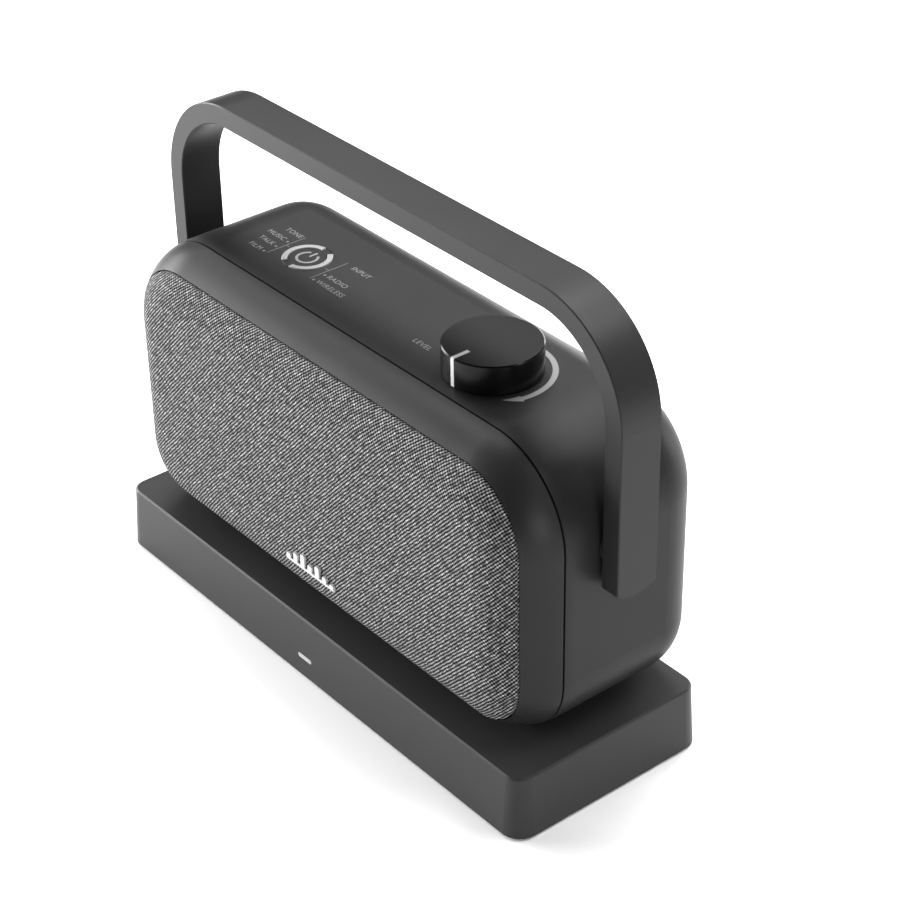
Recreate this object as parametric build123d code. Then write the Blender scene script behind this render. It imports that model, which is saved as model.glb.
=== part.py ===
from build123d import *
import math
import os

# A portable wireless radio speaker with a carrying handle, standing on its charging and transmitter base.
# Millimetres. +Z is up, the front faces -Y and +X is the listener's right.
# The origin is on the table, under the middle of the whole object.

# Driving dimensions: base
BASE_TOP_WIDTH = 220.0
BASE_TOP_DEPTH = 77.4
BASE_TOP_Z = 23.9
BASE_CENTRE_Y = -0.75
BASE_CORNER_RADIUS = 5.8
BASE_DRAFT = 1.4
BASE_EDGE_BEVEL = 0.6
BASE_WALL = 2.5
BASE_SHELL_BOTTOM_Z = 0.9
BASE_PLATE_THICKNESS = 2.0
FOOT_HEIGHT = 1.6
FOOT_RADIUS = 6.0

# Driving dimensions: speaker body
BODY_WIDTH = 215.6
BODY_BOTTOM_Z = 24.4
BODY_TOP_Z = 129.5
BODY_FRONT_Y = -37.3
BODY_REAR_Y = 40.85
TOP_CORNER_RADIUS = 31.5
BOTTOM_CORNER_RADIUS = 26.0
FRONT_ROUND = 22.0
REAR_ROUND = 16.7
WALL = 3.0
SEAM_Y = -18.75
SEAM_GAP = 0.7
SEAM_DEPTH = 1.6
TONGUE_FRONT_Y = -21.0

# Driving dimensions: grille
GRILLE_OPENING_INSET = 6.7
CLOTH_INSET = 7.2
CLOTH_THICKNESS = 0.8
PANEL_THICKNESS = 2.0
BAFFLE_FRONT_Y = -28.6
BAFFLE_REAR_Y = -25.6
BAFFLE_INSET = 7.5
LEDGE_REAR_Y = -23.6
LEDGE_INNER_INSET = 9.3
SCREW_INSET = 13.0

# Driving dimensions: handle
HANDLE_WIDTH = 233.9
HANDLE_THICKNESS = 7.4
HANDLE_DEPTH = 16.0
HANDLE_TOP_Z = 175.3
HANDLE_CORNER_RADIUS = 36.5
HANDLE_END_RADIUS = 15.0
HANDLE_EDGE_BEVEL = 0.35
PIVOT_Y = 2.05
PIVOT_Z = 95.7
PIVOT_RADIUS = 4.0
STUD_THREAD_RADIUS = 3.0
STUD_END_X = 114.0
STUD_HEAD_X = 99.4
STUD_HEAD_RADIUS = 7.5
STUD_HEAD_THICKNESS = 1.8
BUSH_RADIUS = 6.5
SPACER_RADIUS = 7.2

# Driving dimensions: controls
KNOB_X = 49.75
KNOB_RADIUS = 16.25
KNOB_HEIGHT = 10.4
KNOB_GAP = 0.3
KNOB_BEVEL = 0.4
KNOB_WALL = 2.2
KNOB_ROOF = 2.4
SHAFT_RADIUS = 3.0
SHAFT_NECK_RADIUS = 2.5
SHAFT_FLAT = 1.5
BUSHING_RADIUS = 3.6
POINTER_WIDTH = 1.5
POINTER_LENGTH = 6.7
POINTER_DEPTH = 0.5
CLUSTER_X = -47.4
POWER_RADIUS = 6.45
POWER_RISE = 0.1
RING_INNER_RADIUS = 6.75
RING_OUTER_RADIUS = 8.75
RING_RISE = 0.45
RING_GAP_DEGREES = 34.0
RING_TAB_DEGREES = 27.0
RING_TURN_DEGREES = -10.0
RING_FLANGE = 2.2
STEM_RADIUS = 1.3
STEM_REACH = 9.2
SWITCH_HEIGHT = 3.2
SWITCH_HALF = 2.4
LENS_RADIUS = 0.5
TONE_LIGHT_X = -61.2
TONE_LIGHT_DROPS = (-8.1, -3.1, 1.8)
INPUT_LIGHT_X = -33.7
INPUT_LIGHT_DROPS = (-7.5, -2.8)

# Driving dimensions: loudspeakers
DRIVER_X = 60.0
DRIVER_FLANGE_RADIUS = 35.0
CONE_RADIUS = 24.0
COIL_RADIUS = 9.2
MAGNET_RADIUS = 22.0
MAGNET_FRONT_Y = -8.0
MAGNET_REAR_Y = 6.0
BASKET_FLANGE = 1.5
CONE_SKIN = 0.6
CONE_NECK_Y = -14.5
SURROUND_SKIN = 0.7
SURROUND_ROLL = 2.3

# Driving dimensions: charging contacts and sockets
CONTACT_X = 12.0
PAD_RADIUS = 2.6
PAD_THICKNESS = 1.4
PIN_RADIUS = 0.9
PIN_COLLAR_RADIUS = 1.6
SPRING_RADIUS = 1.4
JACK_BORE_RADIUS = 1.8
JACK_BARREL_RADIUS = 3.0
JACK_HALF = 4.0
HEADPHONE_X = -18.0
CHARGE_X = 14.0
SOCKET_Z = 62.0
SLOT_LENGTH = 9.0
SLOT_HEIGHT = 3.2
SLOT_CORNER = 1.55
BASE_POWER_X = -34.0
BASE_AUX_X = 0.0
BASE_OPTICAL_X = 30.0
BASE_SOCKET_MOUTH_Y = 37.6
OPTICAL_HALF = 4.6
OPTICAL_RISE = 2.0
OPTICAL_WELL_HALF = 3.2

# Driving dimensions: status light in the front of the base
LED_X = -0.9
LED_Z = 8.35
LED_LENGTH = 7.4
LED_HEIGHT = 1.6

# Driving dimensions: emblem
EMBLEM_X = 2.0
EMBLEM_Z = 44.2
EMBLEM_BAR_WIDTH = 2.2
EMBLEM_BAR_PITCH = 4.0
EMBLEM_BAR_ROUND = 0.7
EMBLEM_THICKNESS = 0.9
EMBLEM_LINE_HEIGHT = 0.9
EMBLEM_BAR_HEIGHTS = (2.4, 4.0, 5.6, 3.4, 5.0, 3.0, 2.0)

# Driving dimensions: power cells
CELL_RADIUS = 9.1
CELL_LENGTH = 65.0
CELL_ROUND = 0.8
CELL_NEAR_Y = 7.0
CELL_FAR_Y = 26.0
BRACKET_THICKNESS = 1.6
BRACKET_HALF = 45.0

# Driving dimensions: boards, screws and pads
BOARD_SCREW_RADIUS = 0.95
BOARD_SCREW_HEAD = 2.0
BOARD_SCREW_HEIGHT = 1.4
BOARD_HOLE_RADIUS = 1.2
PEG_BORE_RADIUS = 1.0
MAIN_BOARD_HALF = 45.0
MAIN_BOARD_LOW_Z = 53.0
MAIN_BOARD_HIGH_Z = 97.0
CONTROL_BOARD_LOW_X = -75.0
CONTROL_BOARD_HIGH_X = 70.0
CONTROL_BOARD_HALF_DEPTH = 13.0
BASE_BOARD_HALF_WIDTH = 66.0
BASE_BOARD_HALF_DEPTH = 32.0
BASE_SOCKET_LENGTH = 9.0
SPEAKER_FOOT_RADIUS = 5.0
CLEARANCE = 0.05

BODY_MIDDLE_Z = (BODY_BOTTOM_Z + BODY_TOP_Z) / 2
TOP_INNER_Z = BODY_TOP_Z - WALL
REAR_INNER_Y = BODY_REAR_Y - WALL
CONTROL_BOARD_TOP_Z = 119.6
BOARD_THICKNESS = 1.6
MAIN_BOARD_REAR_Y = 31.4
BASE_BOARD_TOP_Z = 8.0
BASE_SOCKET_Z = BASE_BOARD_TOP_Z + 3.0
BASE_SOCKET_FRONT_Y = BASE_CENTRE_Y + BASE_BOARD_HALF_DEPTH - BASE_SOCKET_LENGTH
BASE_PLATE_Z = BASE_SHELL_BOTTOM_Z + 0.2
PAD_Z = BODY_BOTTOM_Z + 0.6
PIN_COLLAR_TOP_Z = BASE_TOP_Z - BASE_WALL - 2.6
PIN_TIP_Z = PAD_Z - 0.2
CELL_Z = BODY_BOTTOM_Z + WALL + CELL_RADIUS + 0.8
BATTERY_FOOT_Z = BODY_BOTTOM_Z + WALL + 3.0
STEM_BOTTOM_Z = CONTROL_BOARD_TOP_Z + 2.2
RING_FLANGE_TOP_Z = TOP_INNER_Z - 0.3
RING_FLANGE_LOW_Z = RING_FLANGE_TOP_Z - 1.4


def front_plane(y):
    """A sketching plane at depth y: its x is +X, its y is +Z and it faces the front."""
    return Plane(origin=(0, y, 0), x_dir=(1, 0, 0), z_dir=(0, -1, 0))


def rod_x(radius, x_low, x_high, y, z):
    """A round rod along X between two stations."""
    rod = Cylinder(radius, x_high - x_low, rotation=(0, 90, 0))
    return Pos((x_low + x_high) / 2, y, z) * rod


def rod_y(radius, y_low, y_high, x, z):
    """A round rod along Y between two stations."""
    rod = Cylinder(radius, y_high - y_low, rotation=(90, 0, 0))
    return Pos(x, (y_low + y_high) / 2, z) * rod


def rod_z(radius, z_low, z_high, x, y):
    """A round rod along Z between two stations."""
    return Pos(x, y, (z_low + z_high) / 2) * Cylinder(radius, z_high - z_low)


def block(x_low, x_high, y_low, y_high, z_low, z_high):
    """A box given by its low and high corner."""
    middle = ((x_low + x_high) / 2, (y_low + y_high) / 2, (z_low + z_high) / 2)
    return Pos(*middle) * Box(x_high - x_low, y_high - y_low, z_high - z_low)


def body_outline(inset):
    """The front elevation of the speaker body, drawn in by the inset all round."""
    height = BODY_TOP_Z - BODY_BOTTOM_Z - 2 * inset
    outline = Pos(0, BODY_MIDDLE_Z) * Rectangle(BODY_WIDTH - 2 * inset, height)
    outline = fillet(outline.vertices().group_by(Axis.Y)[-1], TOP_CORNER_RADIUS - inset)
    outline = fillet(outline.vertices().group_by(Axis.Y)[0], BOTTOM_CORNER_RADIUS - inset)
    return outline


def body_slab(y_low, y_high, inset):
    """A straight slice of the body outline between two depths."""
    return extrude(front_plane(y_high) * body_outline(inset), y_high - y_low)


def body_form(inset):
    """The rounded solid of the speaker body, shrunk by the inset on every side."""
    form = body_slab(BODY_FRONT_Y + inset, BODY_REAR_Y - inset, inset)
    form = fillet(form.faces().sort_by(Axis.Y)[0].edges(), FRONT_ROUND - inset)
    form = fillet(form.faces().sort_by(Axis.Y)[-1].edges(), REAR_ROUND - inset)
    return form


def screw_places():
    """Where the six baffle screws stand, as (x, z, direction of the nearest wall)."""
    corner_low_x = BODY_WIDTH / 2 - BOTTOM_CORNER_RADIUS
    corner_high_x = BODY_WIDTH / 2 - TOP_CORNER_RADIUS
    reach_low = (BOTTOM_CORNER_RADIUS - SCREW_INSET) * math.sqrt(0.5)
    reach_high = (TOP_CORNER_RADIUS - SCREW_INSET) * math.sqrt(0.5)
    low_z = BODY_BOTTOM_Z + BOTTOM_CORNER_RADIUS - reach_low
    high_z = BODY_TOP_Z - TOP_CORNER_RADIUS + reach_high
    return [
        (-corner_low_x - reach_low, low_z, 225),
        (corner_low_x + reach_low, low_z, 315),
        (-corner_high_x - reach_high, high_z, 135),
        (corner_high_x + reach_high, high_z, 45),
        (0, BODY_BOTTOM_Z + SCREW_INSET, 270),
        (0, BODY_TOP_Z - SCREW_INSET, 90),
    ]


def indicator_places():
    """Where the small status lights shine through the top: three for tone and two for input."""
    left = [(TONE_LIGHT_X, PIVOT_Y + drop) for drop in TONE_LIGHT_DROPS]
    right = [(INPUT_LIGHT_X, PIVOT_Y + drop) for drop in INPUT_LIGHT_DROPS]
    return left + right


def make_main_housing(solid_body, hollow_body):
    """Tub moulding: top, sides, bottom and back in one, with a tongue that enters the bezel."""
    behind_seam = block(-BODY_WIDTH, BODY_WIDTH, SEAM_Y + SEAM_GAP / 2, 2 * BODY_REAR_Y, 0, 2 * BODY_TOP_Z)
    housing = (solid_body - hollow_body) & behind_seam
    tongue_end = SEAM_Y + 2 * SEAM_GAP
    tongue = body_slab(TONGUE_FRONT_Y, tongue_end, SEAM_DEPTH)
    tongue -= body_slab(TONGUE_FRONT_Y, tongue_end, WALL)
    housing += tongue
    post_rear_y = -14.0
    web_half = 1.2
    for x, z, angle in screw_places():
        web_length = SCREW_INSET - WALL + 0.5
        web = Pos(web_length / 2, 0, 0) * Box(web_length, 2 * web_half, post_rear_y - TONGUE_FRONT_Y)
        web = Plane.XZ * (Rot(0, 0, angle) * web)
        housing += Pos(x, (post_rear_y + TONGUE_FRONT_Y) / 2, z) * web
        housing += rod_y(3.5, BAFFLE_REAR_Y + CLEARANCE, post_rear_y, x, z)
        housing -= rod_y(1.25, BAFFLE_REAR_Y, post_rear_y - 1.5, x, z)
    # Pegs that hold the main circuit board off the back wall.
    for x, z in main_board_screws():
        housing += rod_y(2.8, MAIN_BOARD_REAR_Y + CLEARANCE, REAR_INNER_Y + 0.5, x, z)
        housing -= rod_y(PEG_BORE_RADIUS, MAIN_BOARD_REAR_Y, REAR_INNER_Y - 0.5, x, z)
    # Pegs that hang the control board under the top.
    for x, y in control_board_screws():
        housing += rod_z(2.6, CONTROL_BOARD_TOP_Z + CLEARANCE, TOP_INNER_Z + 0.5, x, y)
        housing -= rod_z(PEG_BORE_RADIUS, CONTROL_BOARD_TOP_Z, TOP_INNER_Z - 0.5, x, y)
    # Pegs under the battery bracket's feet.
    for x, y in battery_screws():
        housing += rod_z(3.0, BODY_BOTTOM_Z + WALL - 0.5, BATTERY_FOOT_Z - CLEARANCE, x, y)
        housing -= rod_z(PEG_BORE_RADIUS, BODY_BOTTOM_Z + WALL, BATTERY_FOOT_Z, x, y)
    # Control holes in the top.
    housing -= rod_z(RING_OUTER_RADIUS + 0.25, TOP_INNER_Z - 1, BODY_TOP_Z + 1, CLUSTER_X, PIVOT_Y)
    housing -= rod_z(BUSHING_RADIUS + 0.2, TOP_INNER_Z - 1, BODY_TOP_Z + 1, KNOB_X, PIVOT_Y)
    for x, y in indicator_places():
        housing -= rod_z(LENS_RADIUS + 0.03, TOP_INNER_Z - 1, BODY_TOP_Z + 1, x, y)
    # Handle pivot holes in the sides.
    for side in (-1, 1):
        low, high = sorted((side * (BODY_WIDTH / 2 - 2 * WALL), side * (BODY_WIDTH / 2 + 1)))
        housing -= rod_x(BUSH_RADIUS + 0.03, low, high, PIVOT_Y, PIVOT_Z)
    # Sockets in the back, contact windows and foot recesses underneath.
    housing -= rod_y(JACK_BARREL_RADIUS + 0.15, REAR_INNER_Y - 1, BODY_REAR_Y + 1, HEADPHONE_X, SOCKET_Z)
    housing -= socket_slot(CHARGE_X, SOCKET_Z, REAR_INNER_Y - 1, BODY_REAR_Y + 1, 0.15)
    for side in (-1, 1):
        housing -= rod_z(PAD_RADIUS - 0.4, BODY_BOTTOM_Z - 1, BODY_BOTTOM_Z + 1.2, side * CONTACT_X, PIVOT_Y)
        housing -= rod_z(PAD_RADIUS + 0.03, PAD_Z, BODY_BOTTOM_Z + WALL + 1, side * CONTACT_X, PIVOT_Y)
    for x, y in speaker_foot_places():
        housing -= rod_z(SPEAKER_FOOT_RADIUS + 0.05, BODY_BOTTOM_Z - 1, BODY_BOTTOM_Z + 1, x, y)
    return housing


def main_board_screws():
    """The four corners where the main board is screwed down."""
    return [(x, z) for x in (-41.0, 41.0) for z in (57.0, 93.0)]


def control_board_screws():
    """The four corners where the control board is screwed up."""
    return [(x, y) for x in (-71.0, 66.0) for y in (PIVOT_Y - 9.5, PIVOT_Y + 9.5)]


def battery_screws():
    """The two screws of the battery bracket, one each end."""
    return [(-40.0, 16.5), (40.0, 16.5)]


def speaker_foot_places():
    """The four rubber pads under the speaker."""
    return [(x, PIVOT_Y + y) for x in (-76.0, 76.0) for y in (-13.0, 16.0)]


def socket_slot(x, z, y_low, y_high, margin):
    """The stadium-shaped mouth of a small power socket, grown by the margin."""
    length = SLOT_LENGTH + 2 * margin
    height = SLOT_HEIGHT + 2 * margin
    outline = Pos(x, z) * RectangleRounded(length, height, SLOT_CORNER + margin)
    return extrude(front_plane(y_high) * outline, y_high - y_low)


def make_front_bezel(solid_body, hollow_body):
    """The rounded frame round the grille, with a ledge inside that the baffle clamps."""
    in_front = block(-BODY_WIDTH, BODY_WIDTH, 2 * BODY_FRONT_Y, SEAM_Y - SEAM_GAP / 2, 0, 2 * BODY_TOP_Z)
    bezel = (solid_body - hollow_body) & in_front
    bezel -= body_slab(BODY_FRONT_Y - 1, BAFFLE_REAR_Y, GRILLE_OPENING_INSET)
    ledge = body_slab(BAFFLE_REAR_Y, LEDGE_REAR_Y, WALL)
    ledge -= body_slab(BAFFLE_REAR_Y, LEDGE_REAR_Y, LEDGE_INNER_INSET)
    bezel += ledge
    bezel -= body_slab(TONGUE_FRONT_Y - 0.1, SEAM_Y, SEAM_DEPTH - 0.15)
    return bezel


def make_grille_cloth(solid_body):
    """The cloth skin over the grille panel, wrapped over the rounded front edge."""
    skin = solid_body - body_form(CLOTH_THICKNESS)
    return skin & body_slab(BODY_FRONT_Y - 1, LEDGE_REAR_Y, CLOTH_INSET)


def make_grille_panel():
    """The slotted panel that the cloth is stretched over, open in front of both loudspeakers."""
    outer = body_form(CLOTH_THICKNESS + CLEARANCE)
    inner = body_form(CLOTH_THICKNESS + PANEL_THICKNESS)
    panel = (outer - inner) & body_slab(BODY_FRONT_Y, BAFFLE_FRONT_Y - CLEARANCE, CLOTH_INSET + 0.1)
    slot_height = 3.0
    slot_pitch = 6.0
    slot_rows = 5
    window_radius = CONE_RADIUS + 8.0
    for side in (-1, 1):
        for row in range(-slot_rows, slot_rows + 1):
            rise = row * slot_pitch
            length = 2 * math.sqrt(window_radius**2 - rise**2)
            outline = Pos(side * DRIVER_X, BODY_MIDDLE_Z + rise) * SlotOverall(length, slot_height)
            panel -= extrude(front_plane(BODY_FRONT_Y + 6) * outline, 8)
    return panel


def make_baffle():
    """The stiff plate that carries both loudspeakers and closes the front of the housing."""
    baffle = body_slab(BAFFLE_FRONT_Y, BAFFLE_REAR_Y, BAFFLE_INSET)
    for side in (-1, 1):
        opening_x = side * DRIVER_X
        baffle -= rod_y(CONE_RADIUS + 7.5, BAFFLE_FRONT_Y - 1, BAFFLE_REAR_Y + 1, opening_x, BODY_MIDDLE_Z)
        for x, z in driver_screws(side):
            baffle -= rod_y(1.0, BAFFLE_FRONT_Y + 0.6, BAFFLE_REAR_Y + 1, x, z)
    for x, z, _ in screw_places():
        baffle -= rod_y(1.7, BAFFLE_FRONT_Y - 1, BAFFLE_REAR_Y + 1, x, z)
    return baffle


def make_badge():
    """A small raised emblem on the cloth: seven level bars on one base line."""
    half_span = EMBLEM_BAR_PITCH * (len(EMBLEM_BAR_HEIGHTS) - 1) / 2 + EMBLEM_BAR_WIDTH / 2
    plane = front_plane(BODY_FRONT_Y - CLEARANCE)
    line_z = EMBLEM_Z + EMBLEM_LINE_HEIGHT / 2
    base_line = Pos(EMBLEM_X, line_z) * Rectangle(2 * half_span, EMBLEM_LINE_HEIGHT)
    emblem = extrude(plane * base_line, EMBLEM_THICKNESS)
    for index, height in enumerate(EMBLEM_BAR_HEIGHTS):
        x = EMBLEM_X - half_span + EMBLEM_BAR_WIDTH / 2 + index * EMBLEM_BAR_PITCH
        outline = RectangleRounded(EMBLEM_BAR_WIDTH, height, EMBLEM_BAR_ROUND)
        emblem += extrude(plane * (Pos(x, EMBLEM_Z + height / 2) * outline), EMBLEM_THICKNESS)
    return emblem


def driver_screws(side):
    """The four screws round one loudspeaker's flange."""
    reach = (DRIVER_FLANGE_RADIUS - 1.9) * math.sqrt(0.5)
    return [(side * DRIVER_X + i * reach, BODY_MIDDLE_Z + j * reach) for i in (-1, 1) for j in (-1, 1)]


def driver_lathe(points, side):
    """Turn a half section about one loudspeaker's axis; points are (radius, y)."""
    profile = make_face(Polyline(*points, close=True))
    turned = revolve(profile, Axis.Y)
    return Pos(side * DRIVER_X, 0, BODY_MIDDLE_Z) * turned


def make_driver_basket(side):
    """Pressed frame of one loudspeaker: a flange behind the baffle and a cup down to the magnet."""
    flange_rear = BAFFLE_REAR_Y + BASKET_FLANGE
    section = [
        (CONE_RADIUS + 5.5, BAFFLE_REAR_Y),
        (DRIVER_FLANGE_RADIUS, BAFFLE_REAR_Y),
        (DRIVER_FLANGE_RADIUS, flange_rear),
        (CONE_RADIUS + 7.0, flange_rear),
        (MAGNET_RADIUS - 1.0, MAGNET_FRONT_Y),
        (COIL_RADIUS + 2.0, MAGNET_FRONT_Y),
        (COIL_RADIUS + 2.0, MAGNET_FRONT_Y - 1.2),
        (MAGNET_RADIUS - 2.0, MAGNET_FRONT_Y - 1.2),
    ]
    basket = driver_lathe(section, side)
    for x, z in driver_screws(side):
        basket -= rod_y(1.3, BAFFLE_REAR_Y - 1, flange_rear + 1, x, z)
    return basket


def make_driver_magnet(side):
    """Ring magnet, plates and centre pole in one, with the slot for the voice coil."""
    slot_rear = MAGNET_FRONT_Y + 9.0
    section = [
        (0, MAGNET_FRONT_Y),
        (COIL_RADIUS - 0.9, MAGNET_FRONT_Y),
        (COIL_RADIUS - 0.9, slot_rear),
        (COIL_RADIUS + 0.9, slot_rear),
        (COIL_RADIUS + 0.9, MAGNET_FRONT_Y + CLEARANCE),
        (MAGNET_RADIUS, MAGNET_FRONT_Y + CLEARANCE),
        (MAGNET_RADIUS, MAGNET_REAR_Y),
        (0, MAGNET_REAR_Y),
    ]
    return driver_lathe(section, side)


def make_driver_cone(side):
    """Paper cone with its dust cap and the voice coil tube behind it."""
    neck_y = CONE_NECK_Y
    skin = CONE_SKIN
    section = [
        (0, neck_y - 3.0),
        (COIL_RADIUS * 0.6, neck_y - 2.2),
        (COIL_RADIUS, neck_y - 0.4),
        (CONE_RADIUS, BAFFLE_REAR_Y - 1.0),
        (CONE_RADIUS, BAFFLE_REAR_Y - 1.0 + skin),
        (COIL_RADIUS + 0.3, neck_y + skin),
        (COIL_RADIUS + 0.3, MAGNET_FRONT_Y + 5.0),
        (COIL_RADIUS - 0.3, MAGNET_FRONT_Y + 5.0),
        (COIL_RADIUS - 0.3, neck_y + skin),
        (COIL_RADIUS * 0.6, neck_y - 2.2 + skin),
        (0, neck_y - 3.0 + skin),
    ]
    return driver_lathe(section, side)


def make_driver_surround(side):
    """Rubber half roll between the cone's edge and the basket."""
    skin = SURROUND_SKIN
    inner = CONE_RADIUS + CLEARANCE
    outer = CONE_RADIUS + 6.8
    middle = (inner + outer) / 2
    seat_y = BAFFLE_REAR_Y - 0.05
    roll = SURROUND_ROLL
    section = [
        (inner, seat_y - 1.0),
        (middle - 1.4, seat_y - roll),
        (middle + 1.4, seat_y - roll),
        (outer, seat_y - skin),
        (outer, seat_y),
        (outer - 1.2, seat_y),
        (middle + 1.0, seat_y - roll + skin),
        (middle - 1.0, seat_y - roll + skin),
        (inner, seat_y - 1.0 + skin),
    ]
    return driver_lathe(section, side)


def make_screw(axis, place, shank_radius, head_radius, head_height, length):
    """A pan-head screw whose head lies on a plane; axis is the way the head faces."""
    head = Pos(0, 0, head_height / 2) * Cylinder(head_radius, head_height)
    head = chamfer(head.edges().group_by(Axis.Z)[-1], head_height * 0.3)
    shank = Pos(0, 0, -length / 2) * Cylinder(shank_radius, length)
    recess = Pos(0, 0, head_height) * Box(head_radius, head_radius * 0.28, head_height)
    recess += Pos(0, 0, head_height) * Box(head_radius * 0.28, head_radius, head_height)
    return Plane(origin=place, z_dir=axis) * (head + shank - recess)


def board_screw(axis, place, length):
    """The small screw used for all boards and for the cell bracket."""
    return make_screw(axis, place, BOARD_SCREW_RADIUS, BOARD_SCREW_HEAD, BOARD_SCREW_HEIGHT, length)


def make_baffle_screws():
    """Six screws that clamp the baffle and the bezel to the housing."""
    return [make_screw((0, -1, 0), (x, BAFFLE_FRONT_Y, z), 1.2, 2.7, 1.8, 11.0) for x, z, _ in screw_places()]


def make_driver_screw_set(side):
    """Four screws that hold one loudspeaker to the back of the baffle."""
    seat_y = BAFFLE_REAR_Y + BASKET_FLANGE
    return [make_screw((0, 1, 0), (x, seat_y, z), 0.95, 1.8, 1.3, 3.4) for x, z in driver_screws(side)]


def make_battery_cells():
    """Two rechargeable cells lying side by side along X, each with its raised end cap."""
    cells = []
    for y in (CELL_NEAR_Y, CELL_FAR_Y):
        cell = rod_x(CELL_RADIUS, -CELL_LENGTH / 2, CELL_LENGTH / 2, y, CELL_Z)
        cell = fillet(cell.edges(), CELL_ROUND)
        cells.append(cell + rod_x(3.0, CELL_LENGTH / 2 - 0.5, CELL_LENGTH / 2 + 1.2, y, CELL_Z))
    return cells


def make_battery_bracket():
    """A bridge over both cells with a foot at each end."""
    bridge_z = CELL_Z + CELL_RADIUS + 0.2
    bridge_top_z = bridge_z + BRACKET_THICKNESS
    inner = CELL_LENGTH / 2 + 2.0
    outer = inner + 2.0
    bracket = block(-outer, outer, CELL_NEAR_Y, CELL_FAR_Y, bridge_z, bridge_top_z)
    for side in (-1, 1):
        low, high = sorted((side * inner, side * outer))
        bracket += block(low, high, CELL_NEAR_Y, CELL_FAR_Y, BATTERY_FOOT_Z, bridge_top_z)
        low, high = sorted((side * inner, side * BRACKET_HALF))
        foot_top_z = BATTERY_FOOT_Z + BRACKET_THICKNESS
        bracket += block(low, high, CELL_NEAR_Y, CELL_FAR_Y, BATTERY_FOOT_Z, foot_top_z)
    for x, y in battery_screws():
        bracket -= rod_z(1.3, BATTERY_FOOT_Z - 1, BATTERY_FOOT_Z + 3, x, y)
    return bracket


def make_battery_screws():
    """Two screws through the bracket's feet."""
    seat_z = BATTERY_FOOT_Z + BRACKET_THICKNESS
    return [board_screw((0, 0, 1), (x, y, seat_z), 4.2) for x, y in battery_screws()]


def make_main_board():
    """The receiver and amplifier board, with its larger chips and coils."""
    front_y = MAIN_BOARD_REAR_Y - BOARD_THICKNESS
    half = MAIN_BOARD_HALF
    board = block(-half, half, front_y, MAIN_BOARD_REAR_Y, MAIN_BOARD_LOW_Z, MAIN_BOARD_HIGH_Z)
    for x, z in main_board_screws():
        board -= rod_y(BOARD_HOLE_RADIUS, front_y - 1, MAIN_BOARD_REAR_Y + 1, x, z)
    board += block(-8, 4, front_y - 1.4, front_y, 74, 86)
    board += block(16, 28, front_y - 4.0, front_y, 72, 84)
    board += rod_y(4.0, front_y - 9.0, front_y, -26, 82)
    board += rod_y(4.0, front_y - 9.0, front_y, -26, 70)
    return board


def make_main_board_screws():
    """Four screws into the pegs on the back wall."""
    front_y = MAIN_BOARD_REAR_Y - BOARD_THICKNESS
    return [board_screw((0, -1, 0), (x, front_y, z), 5.0) for x, z in main_board_screws()]


def make_headphone_jack():
    """A 3.5 mm socket soldered to the main board, its barrel flush with the back wall."""
    jack = block(HEADPHONE_X - JACK_HALF, HEADPHONE_X + JACK_HALF, MAIN_BOARD_REAR_Y + CLEARANCE,
                 REAR_INNER_Y - 0.1, SOCKET_Z - JACK_HALF, SOCKET_Z + JACK_HALF)
    jack += rod_y(JACK_BARREL_RADIUS, REAR_INNER_Y - 0.5, BODY_REAR_Y - 0.3, HEADPHONE_X, SOCKET_Z)
    return jack - rod_y(JACK_BORE_RADIUS, MAIN_BOARD_REAR_Y + 1.0, BODY_REAR_Y + 1, HEADPHONE_X, SOCKET_Z)


def make_charge_socket(x, z, board_y, mouth_y):
    """A small power socket: a stadium shell with its contact tongue inside."""
    shell = socket_slot(x, z, board_y, mouth_y, 0.0)
    shell -= socket_slot(x, z, board_y + 1.2, mouth_y + 1, -0.35)
    tongue = block(x - 3.2, x + 3.2, board_y + 0.6, mouth_y - 1.0, z - 0.35, z + 0.35)
    return shell + tongue


def make_control_board():
    """The narrow board under the top that carries the switches, lights and volume control."""
    bottom_z = CONTROL_BOARD_TOP_Z - BOARD_THICKNESS
    front_y = PIVOT_Y - CONTROL_BOARD_HALF_DEPTH
    rear_y = PIVOT_Y + CONTROL_BOARD_HALF_DEPTH
    board = block(CONTROL_BOARD_LOW_X, CONTROL_BOARD_HIGH_X, front_y, rear_y, bottom_z, CONTROL_BOARD_TOP_Z)
    for x, y in control_board_screws():
        board -= rod_z(BOARD_HOLE_RADIUS, bottom_z - 1, CONTROL_BOARD_TOP_Z + 1, x, y)
    for x, y in indicator_places():
        board += block(x - 0.8, x + 0.8, y - 0.8, y + 0.8, CONTROL_BOARD_TOP_Z, CONTROL_BOARD_TOP_Z + 0.7)
    return board


def make_control_board_screws():
    """Four screws up into the pegs under the top."""
    bottom_z = CONTROL_BOARD_TOP_Z - BOARD_THICKNESS
    return [board_screw((0, 0, -1), (x, y, bottom_z), 5.0) for x, y in control_board_screws()]


def make_control_switches():
    """Three push switches in a row on the control board, each with a round well for a stem."""
    half = SWITCH_HALF
    top_z = CONTROL_BOARD_TOP_Z + SWITCH_HEIGHT
    switches = []
    for offset in (-STEM_REACH, 0, STEM_REACH):
        x = CLUSTER_X + offset
        case = block(x - half, x + half, PIVOT_Y - half, PIVOT_Y + half, CONTROL_BOARD_TOP_Z + 0.02, top_z)
        switches.append(case - rod_z(STEM_RADIUS + 0.15, CONTROL_BOARD_TOP_Z + 1.2, top_z + 1, x, PIVOT_Y))
    return switches


def make_indicator_lenses():
    """Five clear light pipes that end flush with the top."""
    low_z = CONTROL_BOARD_TOP_Z + 1.0
    return [rod_z(LENS_RADIUS, low_z, BODY_TOP_Z, x, y) for x, y in indicator_places()]


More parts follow.
